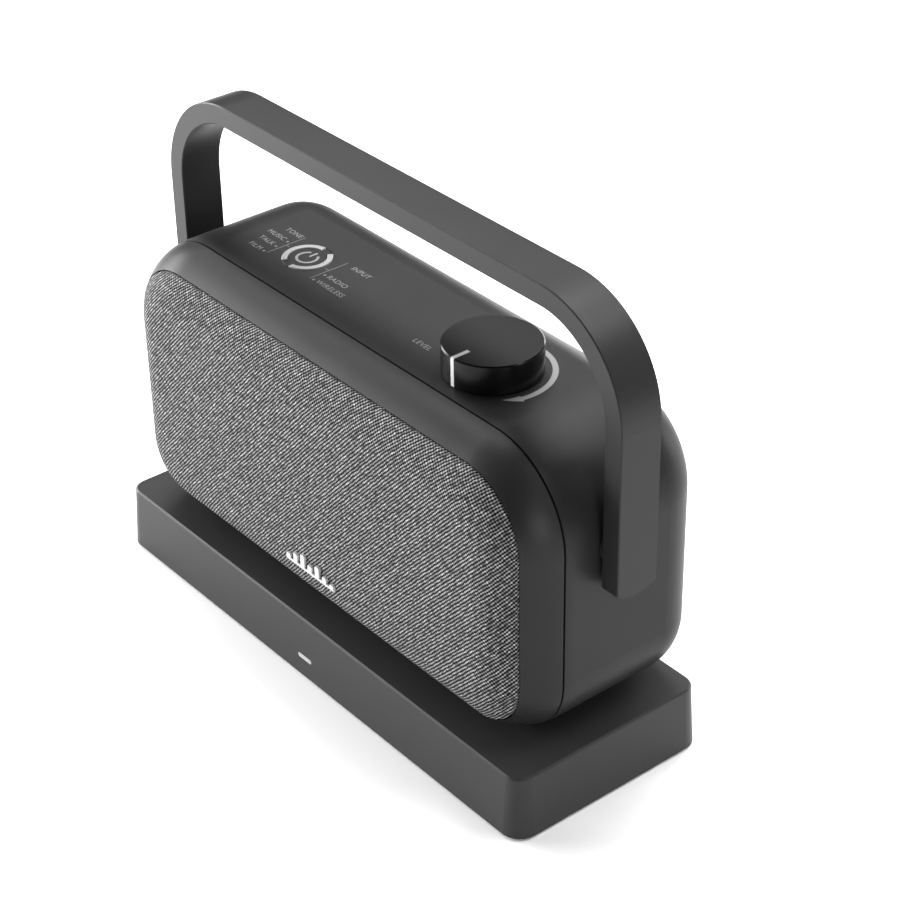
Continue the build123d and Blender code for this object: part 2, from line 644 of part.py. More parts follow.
def make_power_button():
    """The round centre button with a tab in each gap of the ring, and its stem."""
    cap_z = BODY_TOP_Z + POWER_RISE
    cap = rod_z(POWER_RADIUS, RING_FLANGE_TOP_Z - 0.3, cap_z, CLUSTER_X, PIVOT_Y)
    for middle in (90, 270):
        inner = POWER_RADIUS - 0.5
        cap += ring_sector(inner, RING_OUTER_RADIUS, TOP_INNER_Z, cap_z, middle, RING_TAB_DEGREES)
    cap = fillet(cap.edges().group_by(Axis.Z)[-1], 0.15)
    return cap + rod_z(STEM_RADIUS, STEM_BOTTOM_Z, TOP_INNER_Z, CLUSTER_X, PIVOT_Y)


def ring_sector(inner, outer, low_z, high_z, middle, spread):
    """Part of a ring round the power button, so many degrees wide about its middle direction."""
    far = 3 * outer
    start = math.radians(middle + RING_TURN_DEGREES - spread / 2)
    corners = [(0, 0)]
    for step in range(5):
        angle = start + math.radians(spread) * step / 4
        corners.append((far * math.cos(angle), far * math.sin(angle)))
    wedge = make_face(Polyline(*corners, close=True))
    sector = (Circle(outer) - Circle(inner)) & wedge
    return Pos(CLUSTER_X, PIVOT_Y, low_z) * extrude(sector, high_z - low_z)


def make_ring_button(side):
    """One raised half-ring key, its retaining flange under the top, and its stem."""
    middle = 90 - 90 * side
    spread = 180 - RING_GAP_DEGREES
    top_z = BODY_TOP_Z + RING_RISE
    key = ring_sector(RING_INNER_RADIUS, RING_OUTER_RADIUS, RING_FLANGE_LOW_Z, top_z, middle, spread)
    key = fillet(key.edges().group_by(Axis.Z)[-1], 0.25)
    flange_radius = RING_OUTER_RADIUS + RING_FLANGE
    key += ring_sector(RING_INNER_RADIUS, flange_radius, RING_FLANGE_LOW_Z, RING_FLANGE_TOP_Z, middle, spread)
    stem_x = CLUSTER_X + side * STEM_REACH
    return key + rod_z(STEM_RADIUS, STEM_BOTTOM_Z, RING_FLANGE_LOW_Z + 0.5, stem_x, PIVOT_Y)


def make_volume_control():
    """The rotary control on the control board, with the plain bush that guides its shaft."""
    case_top_z = CONTROL_BOARD_TOP_Z + 5.6
    case = block(KNOB_X - 6, KNOB_X + 6, PIVOT_Y - 6, PIVOT_Y + 6, CONTROL_BOARD_TOP_Z + 0.02, case_top_z)
    case += rod_z(BUSHING_RADIUS, case_top_z - 0.5, BODY_TOP_Z - 0.1, KNOB_X, PIVOT_Y)
    bore = SHAFT_NECK_RADIUS + CLEARANCE
    return case - rod_z(bore, CONTROL_BOARD_TOP_Z + 1, BODY_TOP_Z + 1, KNOB_X, PIVOT_Y)


def make_volume_shaft():
    """The turned shaft, thin in its bush and full size with a flat where the knob is pressed on."""
    low_z = CONTROL_BOARD_TOP_Z + 1.2
    neck_z = BODY_TOP_Z + 0.2
    top_z = BODY_TOP_Z + 7.4
    shaft = rod_z(SHAFT_NECK_RADIUS, low_z, neck_z + 0.5, KNOB_X, PIVOT_Y)
    shaft += rod_z(SHAFT_RADIUS, neck_z, top_z, KNOB_X, PIVOT_Y)
    flat_low = PIVOT_Y + SHAFT_RADIUS - SHAFT_FLAT
    return shaft - block(KNOB_X - 5, KNOB_X + 5, flat_low, flat_low + 5, neck_z + 1.5, top_z + 1)


def pointer_bar(grow):
    """The inlay that marks the knob: along the top from the rim and down the side."""
    half = POINTER_WIDTH / 2 + grow
    rim_y = PIVOT_Y - KNOB_RADIUS
    low_z = BODY_TOP_Z + KNOB_GAP
    high_z = BODY_TOP_Z + KNOB_HEIGHT
    flat = block(KNOB_X - half, KNOB_X + half, rim_y - 1, rim_y + POINTER_LENGTH + grow,
                 high_z - POINTER_DEPTH - grow, high_z + 1)
    near_x = KNOB_X - half
    far_x = KNOB_X + half
    upright = block(near_x, far_x, rim_y - 1, rim_y + POINTER_DEPTH + grow, low_z - 1, high_z + 1)
    return flat + upright


def knob_form():
    """The outside of the volume knob, with its fine top bevel."""
    form = rod_z(KNOB_RADIUS, BODY_TOP_Z + KNOB_GAP, BODY_TOP_Z + KNOB_HEIGHT, KNOB_X, PIVOT_Y)
    return chamfer(form.edges().group_by(Axis.Z)[-1], KNOB_BEVEL)


def make_volume_knob():
    """The cap of the volume control: a thin skirt, a flat top and a hub on the shaft."""
    knob = knob_form()
    well_top_z = BODY_TOP_Z + KNOB_HEIGHT - KNOB_ROOF
    well = rod_z(KNOB_RADIUS - KNOB_WALL, BODY_TOP_Z, well_top_z, KNOB_X, PIVOT_Y)
    well -= rod_z(SHAFT_RADIUS + 2.0, BODY_TOP_Z - 1, well_top_z + 1, KNOB_X, PIVOT_Y)
    knob -= well
    hub_low_z = BODY_TOP_Z + 0.6
    knob -= rod_z(SHAFT_RADIUS + 2.1, BODY_TOP_Z, hub_low_z, KNOB_X, PIVOT_Y)
    shaft_hole = rod_z(SHAFT_RADIUS + 0.02, BODY_TOP_Z, BODY_TOP_Z + 7.5, KNOB_X, PIVOT_Y)
    flat_low = PIVOT_Y + SHAFT_RADIUS - SHAFT_FLAT + 0.02
    shaft_hole -= block(KNOB_X - 5, KNOB_X + 5, flat_low, flat_low + 5, BODY_TOP_Z + 1.72, BODY_TOP_Z + 9)
    knob -= shaft_hole
    return knob - pointer_bar(0.02)


def make_knob_pointer():
    """The white mark let into the knob."""
    return knob_form() & pointer_bar(0.0)


def make_handle():
    """A flat bar bent into an upright U, with rounded ends about the pivots."""
    top_radius = HANDLE_CORNER_RADIUS
    low_z = PIVOT_Z - HANDLE_END_RADIUS - 1
    arms_high = HANDLE_TOP_Z - low_z
    outer = Pos(0, low_z + arms_high / 2) * Rectangle(HANDLE_WIDTH, arms_high)
    outer = fillet(outer.vertices().group_by(Axis.Y)[-1], top_radius)
    inner_high = arms_high - HANDLE_THICKNESS
    inner = Pos(0, low_z + inner_high / 2) * Rectangle(HANDLE_WIDTH - 2 * HANDLE_THICKNESS, inner_high)
    inner = fillet(inner.vertices().group_by(Axis.Y)[-1], top_radius - HANDLE_THICKNESS)
    bar = extrude(front_plane(PIVOT_Y + HANDLE_DEPTH / 2) * (outer - inner), HANDLE_DEPTH)
    keep = rod_x(HANDLE_END_RADIUS, -HANDLE_WIDTH, HANDLE_WIDTH, PIVOT_Y, PIVOT_Z)
    keep += block(-HANDLE_WIDTH, HANDLE_WIDTH, -HANDLE_DEPTH * 2, HANDLE_DEPTH * 2, PIVOT_Z, 2 * HANDLE_TOP_Z)
    bar = bar & keep
    bar = chamfer(bar.edges(), HANDLE_EDGE_BEVEL)
    for side in (-1, 1):
        inner_x = side * (HANDLE_WIDTH / 2 - HANDLE_THICKNESS - 1)
        low, high = sorted((inner_x, side * STUD_END_X))
        bar -= rod_x(STUD_THREAD_RADIUS + 0.02, low, high, PIVOT_Y, PIVOT_Z)
    return bar


def make_handle_stud(side):
    """The shouldered steel stud of one pivot: head inside the housing, thread in the handle's arm."""
    arm_x = HANDLE_WIDTH / 2 - HANDLE_THICKNESS
    head_end = STUD_HEAD_X + STUD_HEAD_THICKNESS
    spans = [
        (STUD_HEAD_RADIUS, STUD_HEAD_X, head_end),
        (PIVOT_RADIUS, STUD_HEAD_X, arm_x - CLEARANCE),
        (STUD_THREAD_RADIUS, arm_x - 1, STUD_END_X - 0.2),
    ]
    stud = None
    for radius, near, far in spans:
        low, high = sorted((side * near, side * far))
        step = rod_x(radius, low, high, PIVOT_Y, PIVOT_Z)
        stud = step if stud is None else stud + step
    return stud


def make_handle_bush(side):
    """The plastic friction bush pressed into the housing wall."""
    low, high = sorted((side * (STUD_HEAD_X + STUD_HEAD_THICKNESS + 0.1), side * (BODY_WIDTH / 2 - 0.1)))
    bush = rod_x(BUSH_RADIUS, low, high, PIVOT_Y, PIVOT_Z)
    return bush - rod_x(PIVOT_RADIUS + CLEARANCE, low - 1, high + 1, PIVOT_Y, PIVOT_Z)


def make_handle_spacer(side):
    """The thin washer that keeps the arm clear of the housing."""
    arm_x = HANDLE_WIDTH / 2 - HANDLE_THICKNESS
    low, high = sorted((side * (BODY_WIDTH / 2 + 0.15), side * (arm_x - CLEARANCE)))
    washer = rod_x(SPACER_RADIUS, low, high, PIVOT_Y, PIVOT_Z)
    return washer - rod_x(PIVOT_RADIUS + CLEARANCE, low - 1, high + 1, PIVOT_Y, PIVOT_Z)


def make_speaker_feet():
    """Four thin rubber pads let into the bottom of the housing."""
    low_z = BASE_TOP_Z + 0.03
    return [rod_z(SPEAKER_FOOT_RADIUS, low_z, BODY_BOTTOM_Z + 0.95, x, y) for x, y in speaker_foot_places()]


def make_contact_pads():
    """Two gold-faced pads that meet the charging pins."""
    low_z = PAD_Z + 0.02
    high_z = PAD_Z + PAD_THICKNESS
    return [rod_z(PAD_RADIUS, low_z, high_z, side * CONTACT_X, PIVOT_Y) for side in (-1, 1)]


def base_form(inset, low_z, high_z):
    """The drafted block of the base, shrunk sideways by the inset."""
    slope = BASE_DRAFT / (BASE_TOP_Z - BASE_SHELL_BOTTOM_Z)
    grow = slope * (BASE_TOP_Z - low_z)
    width = BASE_TOP_WIDTH + 2 * (grow - inset)
    depth = BASE_TOP_DEPTH + 2 * (grow - inset)
    outline = RectangleRounded(width, depth, BASE_CORNER_RADIUS + grow - inset)
    taper = math.degrees(math.atan(slope))
    return Pos(0, BASE_CENTRE_Y, low_z) * extrude(outline, high_z - low_z, taper=taper)


def base_screw_places():
    """The four screws under the base, each in its boss."""
    return [(x, BASE_CENTRE_Y + y) for x in (-98.0, 98.0) for y in (-24.0, 24.0)]


def base_foot_places():
    """The four rubber feet under the base."""
    return [(x, BASE_CENTRE_Y + y) for x in (-82.0, 82.0) for y in (-26.0, 26.0)]


def led_slot(y_low, y_high, margin):
    """The rounded slot of the status light in the front wall of the base."""
    outline = Pos(LED_X, LED_Z) * SlotOverall(LED_LENGTH + 2 * margin, LED_HEIGHT + 2 * margin)
    return extrude(front_plane(y_high) * outline, y_high - y_low)


def make_base_shell():
    """The drafted cover of the base: top and four walls in one moulding, open underneath."""
    shell = base_form(0, BASE_SHELL_BOTTOM_Z, BASE_TOP_Z)
    shell = chamfer(shell.faces().sort_by(Axis.Z)[-1].edges(), BASE_EDGE_BEVEL)
    shell -= base_form(BASE_WALL, BASE_SHELL_BOTTOM_Z - 0.5, BASE_TOP_Z - BASE_WALL)
    plate_top_z = BASE_PLATE_Z + BASE_PLATE_THICKNESS
    for x, y in base_screw_places():
        shell += rod_z(3.4, plate_top_z + CLEARANCE, BASE_TOP_Z - BASE_WALL + 0.5, x, y)
        shell -= rod_z(1.25, plate_top_z, BASE_TOP_Z - BASE_WALL - 2, x, y)
    for x, y in base_board_screws():
        shell += rod_z(2.8, BASE_BOARD_TOP_Z + CLEARANCE, BASE_TOP_Z - BASE_WALL + 0.5, x, y)
        shell -= rod_z(PEG_BORE_RADIUS, BASE_BOARD_TOP_Z, BASE_TOP_Z - BASE_WALL - 2, x, y)
    for side in (-1, 1):
        pin_x = side * CONTACT_X
        shell -= rod_z(PIN_RADIUS + 0.06, BASE_TOP_Z - BASE_WALL - 1, BASE_TOP_Z + 1, pin_x, PIVOT_Y)
    front_y = BASE_CENTRE_Y - BASE_TOP_DEPTH / 2 - BASE_DRAFT
    shell -= led_slot(front_y - 1, front_y + 2 * BASE_WALL, 0.05)
    rear_y = BASE_CENTRE_Y + BASE_TOP_DEPTH / 2
    shell -= socket_slot(BASE_POWER_X, BASE_SOCKET_Z, rear_y - 2 * BASE_WALL, rear_y + 4, 0.15)
    shell -= rod_y(JACK_BARREL_RADIUS + 0.15, rear_y - 2 * BASE_WALL, rear_y + 4, BASE_AUX_X, BASE_SOCKET_Z)
    shell -= block(BASE_OPTICAL_X - OPTICAL_HALF - 0.15, BASE_OPTICAL_X + OPTICAL_HALF + 0.15,
                   rear_y - 2 * BASE_WALL, rear_y + 4,
                   BASE_SOCKET_Z - OPTICAL_HALF + OPTICAL_RISE - 0.15,
                   BASE_SOCKET_Z + OPTICAL_HALF + OPTICAL_RISE + 0.15)
    return shell


def make_base_plate():
    """The flat floor of the base, set in from its walls."""
    low_z = BASE_PLATE_Z
    plate = base_form(BASE_WALL + 0.25, low_z, low_z + BASE_PLATE_THICKNESS)
    for x, y in base_screw_places():
        plate -= rod_z(1.5, low_z - 1, low_z + BASE_PLATE_THICKNESS + 1, x, y)
        plate -= rod_z(3.0, low_z - 1, low_z + 1.0, x, y)
    for x, y in base_foot_places():
        plate -= rod_z(FOOT_RADIUS + 0.05, low_z - 1, FOOT_HEIGHT + 0.05, x, y)
    return plate


def make_base_feet():
    """Four round rubber feet glued into the floor of the base."""
    feet = []
    for x, y in base_foot_places():
        foot = rod_z(FOOT_RADIUS, 0, FOOT_HEIGHT, x, y)
        feet.append(fillet(foot.edges().group_by(Axis.Z)[0], 0.4))
    return feet


def make_base_screws():
    """Four screws that hold the floor of the base to its cover."""
    seat_z = BASE_PLATE_Z + 1.0
    return [make_screw((0, 0, -1), (x, y, seat_z), 1.2, 2.6, 0.9, 8.0) for x, y in base_screw_places()]


def base_board_screws():
    """The four corners where the transmitter board is screwed up to the cover."""
    return [(x, BASE_CENTRE_Y + y) for x in (-60.0, 60.0) for y in (-20.0, 20.0)]


def make_base_board():
    """The transmitter and charger board, with its main chip, coil and front light."""
    low_z = BASE_BOARD_TOP_Z - BOARD_THICKNESS
    front_y = BASE_CENTRE_Y - BASE_BOARD_HALF_DEPTH
    rear_y = BASE_CENTRE_Y + BASE_BOARD_HALF_DEPTH
    board = block(-BASE_BOARD_HALF_WIDTH, BASE_BOARD_HALF_WIDTH, front_y, rear_y, low_z, BASE_BOARD_TOP_Z)
    for x, y in base_board_screws():
        board -= rod_z(BOARD_HOLE_RADIUS, low_z - 1, BASE_BOARD_TOP_Z + 1, x, y)
    board += block(20, 32, -16, -4, BASE_BOARD_TOP_Z, BASE_BOARD_TOP_Z + 1.4)
    board += rod_z(5.0, BASE_BOARD_TOP_Z, BASE_BOARD_TOP_Z + 5.0, -36, -8)
    board += block(LED_X - 1.5, LED_X + 1.5, front_y - 2.5, front_y + 1,
                   BASE_BOARD_TOP_Z - 0.4, BASE_BOARD_TOP_Z + 1.2)
    return board


def make_base_board_screws():
    """Four screws that hold the transmitter board."""
    low_z = BASE_BOARD_TOP_Z - BOARD_THICKNESS
    return [board_screw((0, 0, -1), (x, y, low_z), 6.0) for x, y in base_board_screws()]


def make_status_lens():
    """The small frosted window in the front wall, flush with it."""
    front_y = BASE_CENTRE_Y - BASE_TOP_DEPTH / 2 - BASE_DRAFT
    return led_slot(front_y - 1, front_y + 2.9, 0.0) & base_form(0.02, BASE_SHELL_BOTTOM_Z, BASE_TOP_Z)


def make_pin_block():
    """The moulded guide under the top that holds both charging pins on the board."""
    high_z = BASE_TOP_Z - BASE_WALL - 0.1
    guide = block(-CONTACT_X - 4, CONTACT_X + 4, PIVOT_Y - 4, PIVOT_Y + 4, BASE_BOARD_TOP_Z + 0.02, high_z)
    for side in (-1, 1):
        guide -= rod_z(PIN_RADIUS + 0.06, high_z - 3, high_z + 1, side * CONTACT_X, PIVOT_Y)
        pin_x = side * CONTACT_X
        guide -= rod_z(PIN_COLLAR_RADIUS + 0.1, BASE_BOARD_TOP_Z + 1.5, PIN_COLLAR_TOP_Z, pin_x, PIVOT_Y)
    return guide


def make_charging_pin(side):
    """One gilt plunger: a rounded tip above the base, a collar inside the guide."""
    x = side * CONTACT_X
    pin = rod_z(PIN_RADIUS, PIN_COLLAR_TOP_Z - 1.2, PIN_TIP_Z, x, PIVOT_Y)
    pin = fillet(pin.edges().group_by(Axis.Z)[-1], 0.5)
    return pin + rod_z(PIN_COLLAR_RADIUS, PIN_COLLAR_TOP_Z - 1.4, PIN_COLLAR_TOP_Z - 0.1, x, PIVOT_Y)


def make_pin_spring(side):
    """The coil under one charging pin, drawn as a plain tube of its wire's width."""
    x = side * CONTACT_X
    low_z = BASE_BOARD_TOP_Z + 1.55
    high_z = PIN_COLLAR_TOP_Z - 1.45
    coil = rod_z(SPRING_RADIUS, low_z, high_z, x, PIVOT_Y)
    return coil - rod_z(SPRING_RADIUS - 0.5, low_z - 1, high_z + 1, x, PIVOT_Y)


def make_aux_jack():
    """The 3.5 mm line input on the back of the base."""
    case_rear_y = BASE_SOCKET_MOUTH_Y - 3.4
    jack = block(BASE_AUX_X - JACK_HALF, BASE_AUX_X + JACK_HALF, BASE_SOCKET_FRONT_Y, case_rear_y,
                 BASE_BOARD_TOP_Z + 0.02, BASE_SOCKET_Z + JACK_HALF - 0.2)
    jack += rod_y(JACK_BARREL_RADIUS - 0.1, case_rear_y - 0.7, BASE_SOCKET_MOUTH_Y, BASE_AUX_X, BASE_SOCKET_Z)
    bore_front_y = BASE_SOCKET_FRONT_Y + 1
    return jack - rod_y(JACK_BORE_RADIUS, bore_front_y, BASE_SOCKET_MOUTH_Y + 1, BASE_AUX_X, BASE_SOCKET_Z)


def make_optical_socket():
    """The square optical input on the back of the base, with its square well."""
    low_z = BASE_SOCKET_Z - OPTICAL_HALF + OPTICAL_RISE
    high_z = BASE_SOCKET_Z + OPTICAL_HALF + OPTICAL_RISE
    socket = block(BASE_OPTICAL_X - OPTICAL_HALF, BASE_OPTICAL_X + OPTICAL_HALF, BASE_SOCKET_FRONT_Y,
                   BASE_SOCKET_MOUTH_Y, low_z, high_z)
    rim = OPTICAL_HALF - OPTICAL_WELL_HALF
    socket -= block(BASE_OPTICAL_X - OPTICAL_WELL_HALF, BASE_OPTICAL_X + OPTICAL_WELL_HALF,
                    BASE_SOCKET_FRONT_Y + 4, BASE_SOCKET_MOUTH_Y + 1, low_z + rim, high_z - rim)
    return socket


def write(name, shape):
    """Save one sub-part, or a group of like solids, as parts/NAME.step."""
    group = Compound(children=list(shape)) if isinstance(shape, list) else shape
    export_step(group, f"parts/{name}.step")


os.makedirs("parts", exist_ok=True)

outer_form = body_form(0)
inner_form = body_form(WALL)

write("main_housing", make_main_housing(outer_form, inner_form))
write("front_bezel", make_front_bezel(outer_form, inner_form))
write("grille_cloth", make_grille_cloth(outer_form))
write("grille_panel", make_grille_panel())
write("badge", make_badge())
write("baffle", make_baffle())
write("baffle_screws", make_baffle_screws())
for side, label in ((-1, "left"), (1, "right")):
    write(f"{label}_driver_basket", make_driver_basket(side))
    write(f"{label}_driver_magnet", make_driver_magnet(side))
    write(f"{label}_driver_cone", make_driver_cone(side))
    write(f"{label}_driver_surround", make_driver_surround(side))
    write(f"{label}_driver_screws", make_driver_screw_set(side))
    write(f"{label}_handle_stud", make_handle_stud(side))
    write(f"{label}_handle_bush", make_handle_bush(side))
    write(f"{label}_handle_spacer", make_handle_spacer(side))
    write(f"{label}_charging_pin", make_charging_pin(side))
    write(f"{label}_pin_spring", make_pin_spring(side))
write("handle", make_handle())
write("battery_cells", make_battery_cells())
write("battery_bracket", make_battery_bracket())
write("battery_screws", make_battery_screws())
write("main_board", make_main_board())
write("main_board_screws", make_main_board_screws())
write("headphone_jack", make_headphone_jack())
charge_inner_y = MAIN_BOARD_REAR_Y + CLEARANCE
write("charge_socket", make_charge_socket(CHARGE_X, SOCKET_Z, charge_inner_y, BODY_REAR_Y - 0.3))
write("control_board", make_control_board())
write("control_board_screws", make_control_board_screws())
write("control_switches", make_control_switches())
write("indicator_lenses", make_indicator_lenses())
write("power_button", make_power_button())
write("tone_button", make_ring_button(-1))
write("input_button", make_ring_button(1))
write("volume_control", make_volume_control())
write("volume_shaft", make_volume_shaft())
write("volume_knob", make_volume_knob())
write("knob_pointer", make_knob_pointer())
write("speaker_feet", make_speaker_feet())
write("contact_pads", make_contact_pads())
write("base_shell", make_base_shell())
write("base_plate", make_base_plate())
write("base_feet", make_base_feet())
write("base_screws", make_base_screws())
write("base_board", make_base_board())
write("base_board_screws", make_base_board_screws())
write("status_lens", make_status_lens())
write("pin_block", make_pin_block())
write("aux_jack", make_aux_jack())
write("optical_socket", make_optical_socket())
power_inner_y = BASE_CENTRE_Y + 24
write("power_socket", make_charge_socket(BASE_POWER_X, BASE_SOCKET_Z, power_inner_y, BASE_SOCKET_MOUTH_Y))
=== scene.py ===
import bmesh
import bpy
import math
from mathutils import Matrix, Vector


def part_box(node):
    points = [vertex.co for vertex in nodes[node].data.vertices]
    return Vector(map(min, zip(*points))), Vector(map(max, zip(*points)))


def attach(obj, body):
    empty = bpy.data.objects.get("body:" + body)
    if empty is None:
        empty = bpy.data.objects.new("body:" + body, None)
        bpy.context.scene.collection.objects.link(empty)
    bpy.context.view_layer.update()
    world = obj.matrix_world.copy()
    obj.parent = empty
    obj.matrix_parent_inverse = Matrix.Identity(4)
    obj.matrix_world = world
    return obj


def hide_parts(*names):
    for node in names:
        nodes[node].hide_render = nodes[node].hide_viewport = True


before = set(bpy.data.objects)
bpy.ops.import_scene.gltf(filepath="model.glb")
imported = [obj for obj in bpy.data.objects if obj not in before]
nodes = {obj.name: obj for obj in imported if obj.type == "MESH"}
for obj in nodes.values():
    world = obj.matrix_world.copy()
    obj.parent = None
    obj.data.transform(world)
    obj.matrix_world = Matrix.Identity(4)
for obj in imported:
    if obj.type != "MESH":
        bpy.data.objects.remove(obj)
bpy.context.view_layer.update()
MM = 0.001

# ---- Camera ---------------------------------------------------------------------------------------
# A long lens looks down on the set from the front right, with a very slight tilt of its own,
# so the whole speaker and its base fill a square picture.
CAMERA_AZIMUTH = math.radians(51.375)
CAMERA_ELEVATION = math.radians(32.649)
CAMERA_ROLL = math.radians(-1.037)
CAMERA_DISTANCE = 766.49 * MM
CAMERA_TARGET = Vector((31.20, -0.75, 92.04)) * MM
SENSOR_WIDTH = 36.0
LENS_LENGTH = 94.95

back = Vector((
    math.sin(CAMERA_AZIMUTH) * math.cos(CAMERA_ELEVATION),
    -math.cos(CAMERA_AZIMUTH) * math.cos(CAMERA_ELEVATION),
    math.sin(CAMERA_ELEVATION),
))
level_right = (-back).cross(Vector((0, 0, 1))).normalized()
level_up = level_right.cross(-back)
right = level_right * math.cos(CAMERA_ROLL) + level_up * math.sin(CAMERA_ROLL)
up = level_up * math.cos(CAMERA_ROLL) - level_right * math.sin(CAMERA_ROLL)
lens = bpy.data.cameras.new("camera")
lens.sensor_width = SENSOR_WIDTH
lens.lens = LENS_LENGTH
lens.clip_start = 0.01
lens.clip_end = 50.0
camera = bpy.data.objects.new("camera", lens)
bpy.context.scene.collection.objects.link(camera)
camera.matrix_world = Matrix.Translation(CAMERA_TARGET + back * CAMERA_DISTANCE) @ Matrix(
    (right, up, back)
).transposed().to_4x4()
bpy.context.scene.camera = camera

# ---- Studio ---------------------------------------------------------------------------------------
# A plain pale table, a wide low soft box on the front left as the main light, one high up at the
# rear left that keeps the shadow close to the base, and weaker ones all round in a dim room.
TABLE_SIZE = 6.0
TABLE_GREY = 0.9
TABLE_ROUGHNESS = 0.9
SURROUND_STRENGTH = 0.02
LIGHT_DISTANCE = 1.4
LIGHT_AIM = Vector((0, 0, 0.08))


def soft_light(name, azimuth, elevation, width, height, power):
    """A soft box so many degrees round the set, 0 in front and positive to the right, facing it."""
    data = bpy.data.lights.new(name, "AREA")
    data.shape = "RECTANGLE"
    data.size = width
    data.size_y = height
    data.energy = power
    lamp = bpy.data.objects.new(name, data)
    turn = math.radians(azimuth)
    rise = math.radians(elevation)
    lamp.location = LIGHT_DISTANCE * Vector(
        (math.sin(turn) * math.cos(rise), -math.cos(turn) * math.cos(rise), math.sin(rise))
    )
    lamp.rotation_euler = (LIGHT_AIM - lamp.location).to_track_quat("-Z", "Y").to_euler()
    bpy.context.scene.collection.objects.link(lamp)


soft_light("key_light", -55, 11, 0.9, 0.44, 46)
soft_light("left_light", -77, 25, 0.5, 0.5, 13)
soft_light("high_left_light", -108, 50, 0.8, 0.5, 9)
soft_light("high_rear_light", -145, 68, 0.8, 0.5, 20)
soft_light("high_far_light", 140, 60, 0.8, 0.5, 12)
soft_light("rear_left_light", -156, 13, 0.6, 0.5, 9.5)
soft_light("rear_right_light", 160, 13, 0.5, 0.5, 6.5)
soft_light("right_light", 75, 13, 0.5, 0.5, 7)
soft_light("high_right_light", 90, 40, 0.8, 0.5, 2.4)

world = bpy.data.worlds.new("surround")
world.use_nodes = True
world.node_tree.nodes["Background"].inputs["Color"].default_value = (1, 1, 1, 1)
world.node_tree.nodes["Background"].inputs["Strength"].default_value = SURROUND_STRENGTH
bpy.context.scene.world = world
bpy.context.scene.view_settings.view_transform = "Standard"

table_mesh = bpy.data.meshes.new("table")
half_table = TABLE_SIZE / 2
table_corners = [(x * half_table, y * half_table, 0) for x, y in ((-1, -1), (1, -1), (1, 1), (-1, 1))]
table_mesh.from_pydata(table_corners, [], [(0, 1, 2, 3)])
table_top = bpy.data.objects.new("table", table_mesh)
bpy.context.scene.collection.objects.link(table_top)
table_paint = bpy.data.materials.new("table_paint")
table_paint.use_nodes = True
table_shader = table_paint.node_tree.nodes["Principled BSDF"]
table_shader.inputs["Base Color"].default_value = (TABLE_GREY, TABLE_GREY, TABLE_GREY, 1)
table_shader.inputs["Roughness"].default_value = TABLE_ROUGHNESS
table_mesh.materials.append(table_paint)

# ---- Base housing ---------------------------------------------------------------------------------
# The base is a shallow drafted box moulded in dark grey plastic with a fine spark-eroded grain.
# Its floor is a flat plate held by four screws, on four round rubber feet.
SATIN_REFLECTION = 0.17
NOISE_LOW = 0.3
NOISE_HIGH = 0.7
CLOUD_SCALE = 40.0
TONE_SWING = 0.08
GLOSS_SWING = 0.03
SPECKLE_SIZE = 0.6
SPECKLE_SHARE = 0.6
CLOUD_SHARE = 0.4


def new_material(name):
    """An empty node material with its shader; gives (material, nodes, links, shader)."""
    material = bpy.data.materials.new(name)
    material.use_nodes = True
    tree = material.node_tree
    return material, tree.nodes, tree.links, tree.nodes["Principled BSDF"]


def noise_at(tree_nodes, links, vector, scale, detail=3.0):
    """A noise texture on a coordinate; scale is in waves per metre."""
    noise = tree_nodes.new("ShaderNodeTexNoise")
    noise.inputs["Scale"].default_value = scale
    noise.inputs["Detail"].default_value = detail
    links.new(vector, noise.inputs["Vector"])
    return noise.outputs["Fac"]


def remap(tree_nodes, links, value, low, high):
    """Stretch the usual span of a noise onto low to high."""
    node = tree_nodes.new("ShaderNodeMapRange")
    node.inputs["From Min"].default_value = NOISE_LOW
    node.inputs["From Max"].default_value = NOISE_HIGH
    node.inputs["To Min"].default_value = low
    node.inputs["To Max"].default_value = high
    links.new(value, node.inputs["Value"])
    return node.outputs["Result"]


def ramp_between(tree_nodes, links, value, first, second):
    """The colour on the way from the first to the second, for a value from 0 to 1."""
    ramp = tree_nodes.new("ShaderNodeValToRGB")
    ramp.color_ramp.elements[0].color = (*first, 1)
    ramp.color_ramp.elements[1].color = (*second, 1)
    links.new(value, ramp.inputs["Fac"])
    return ramp.outputs["Color"]


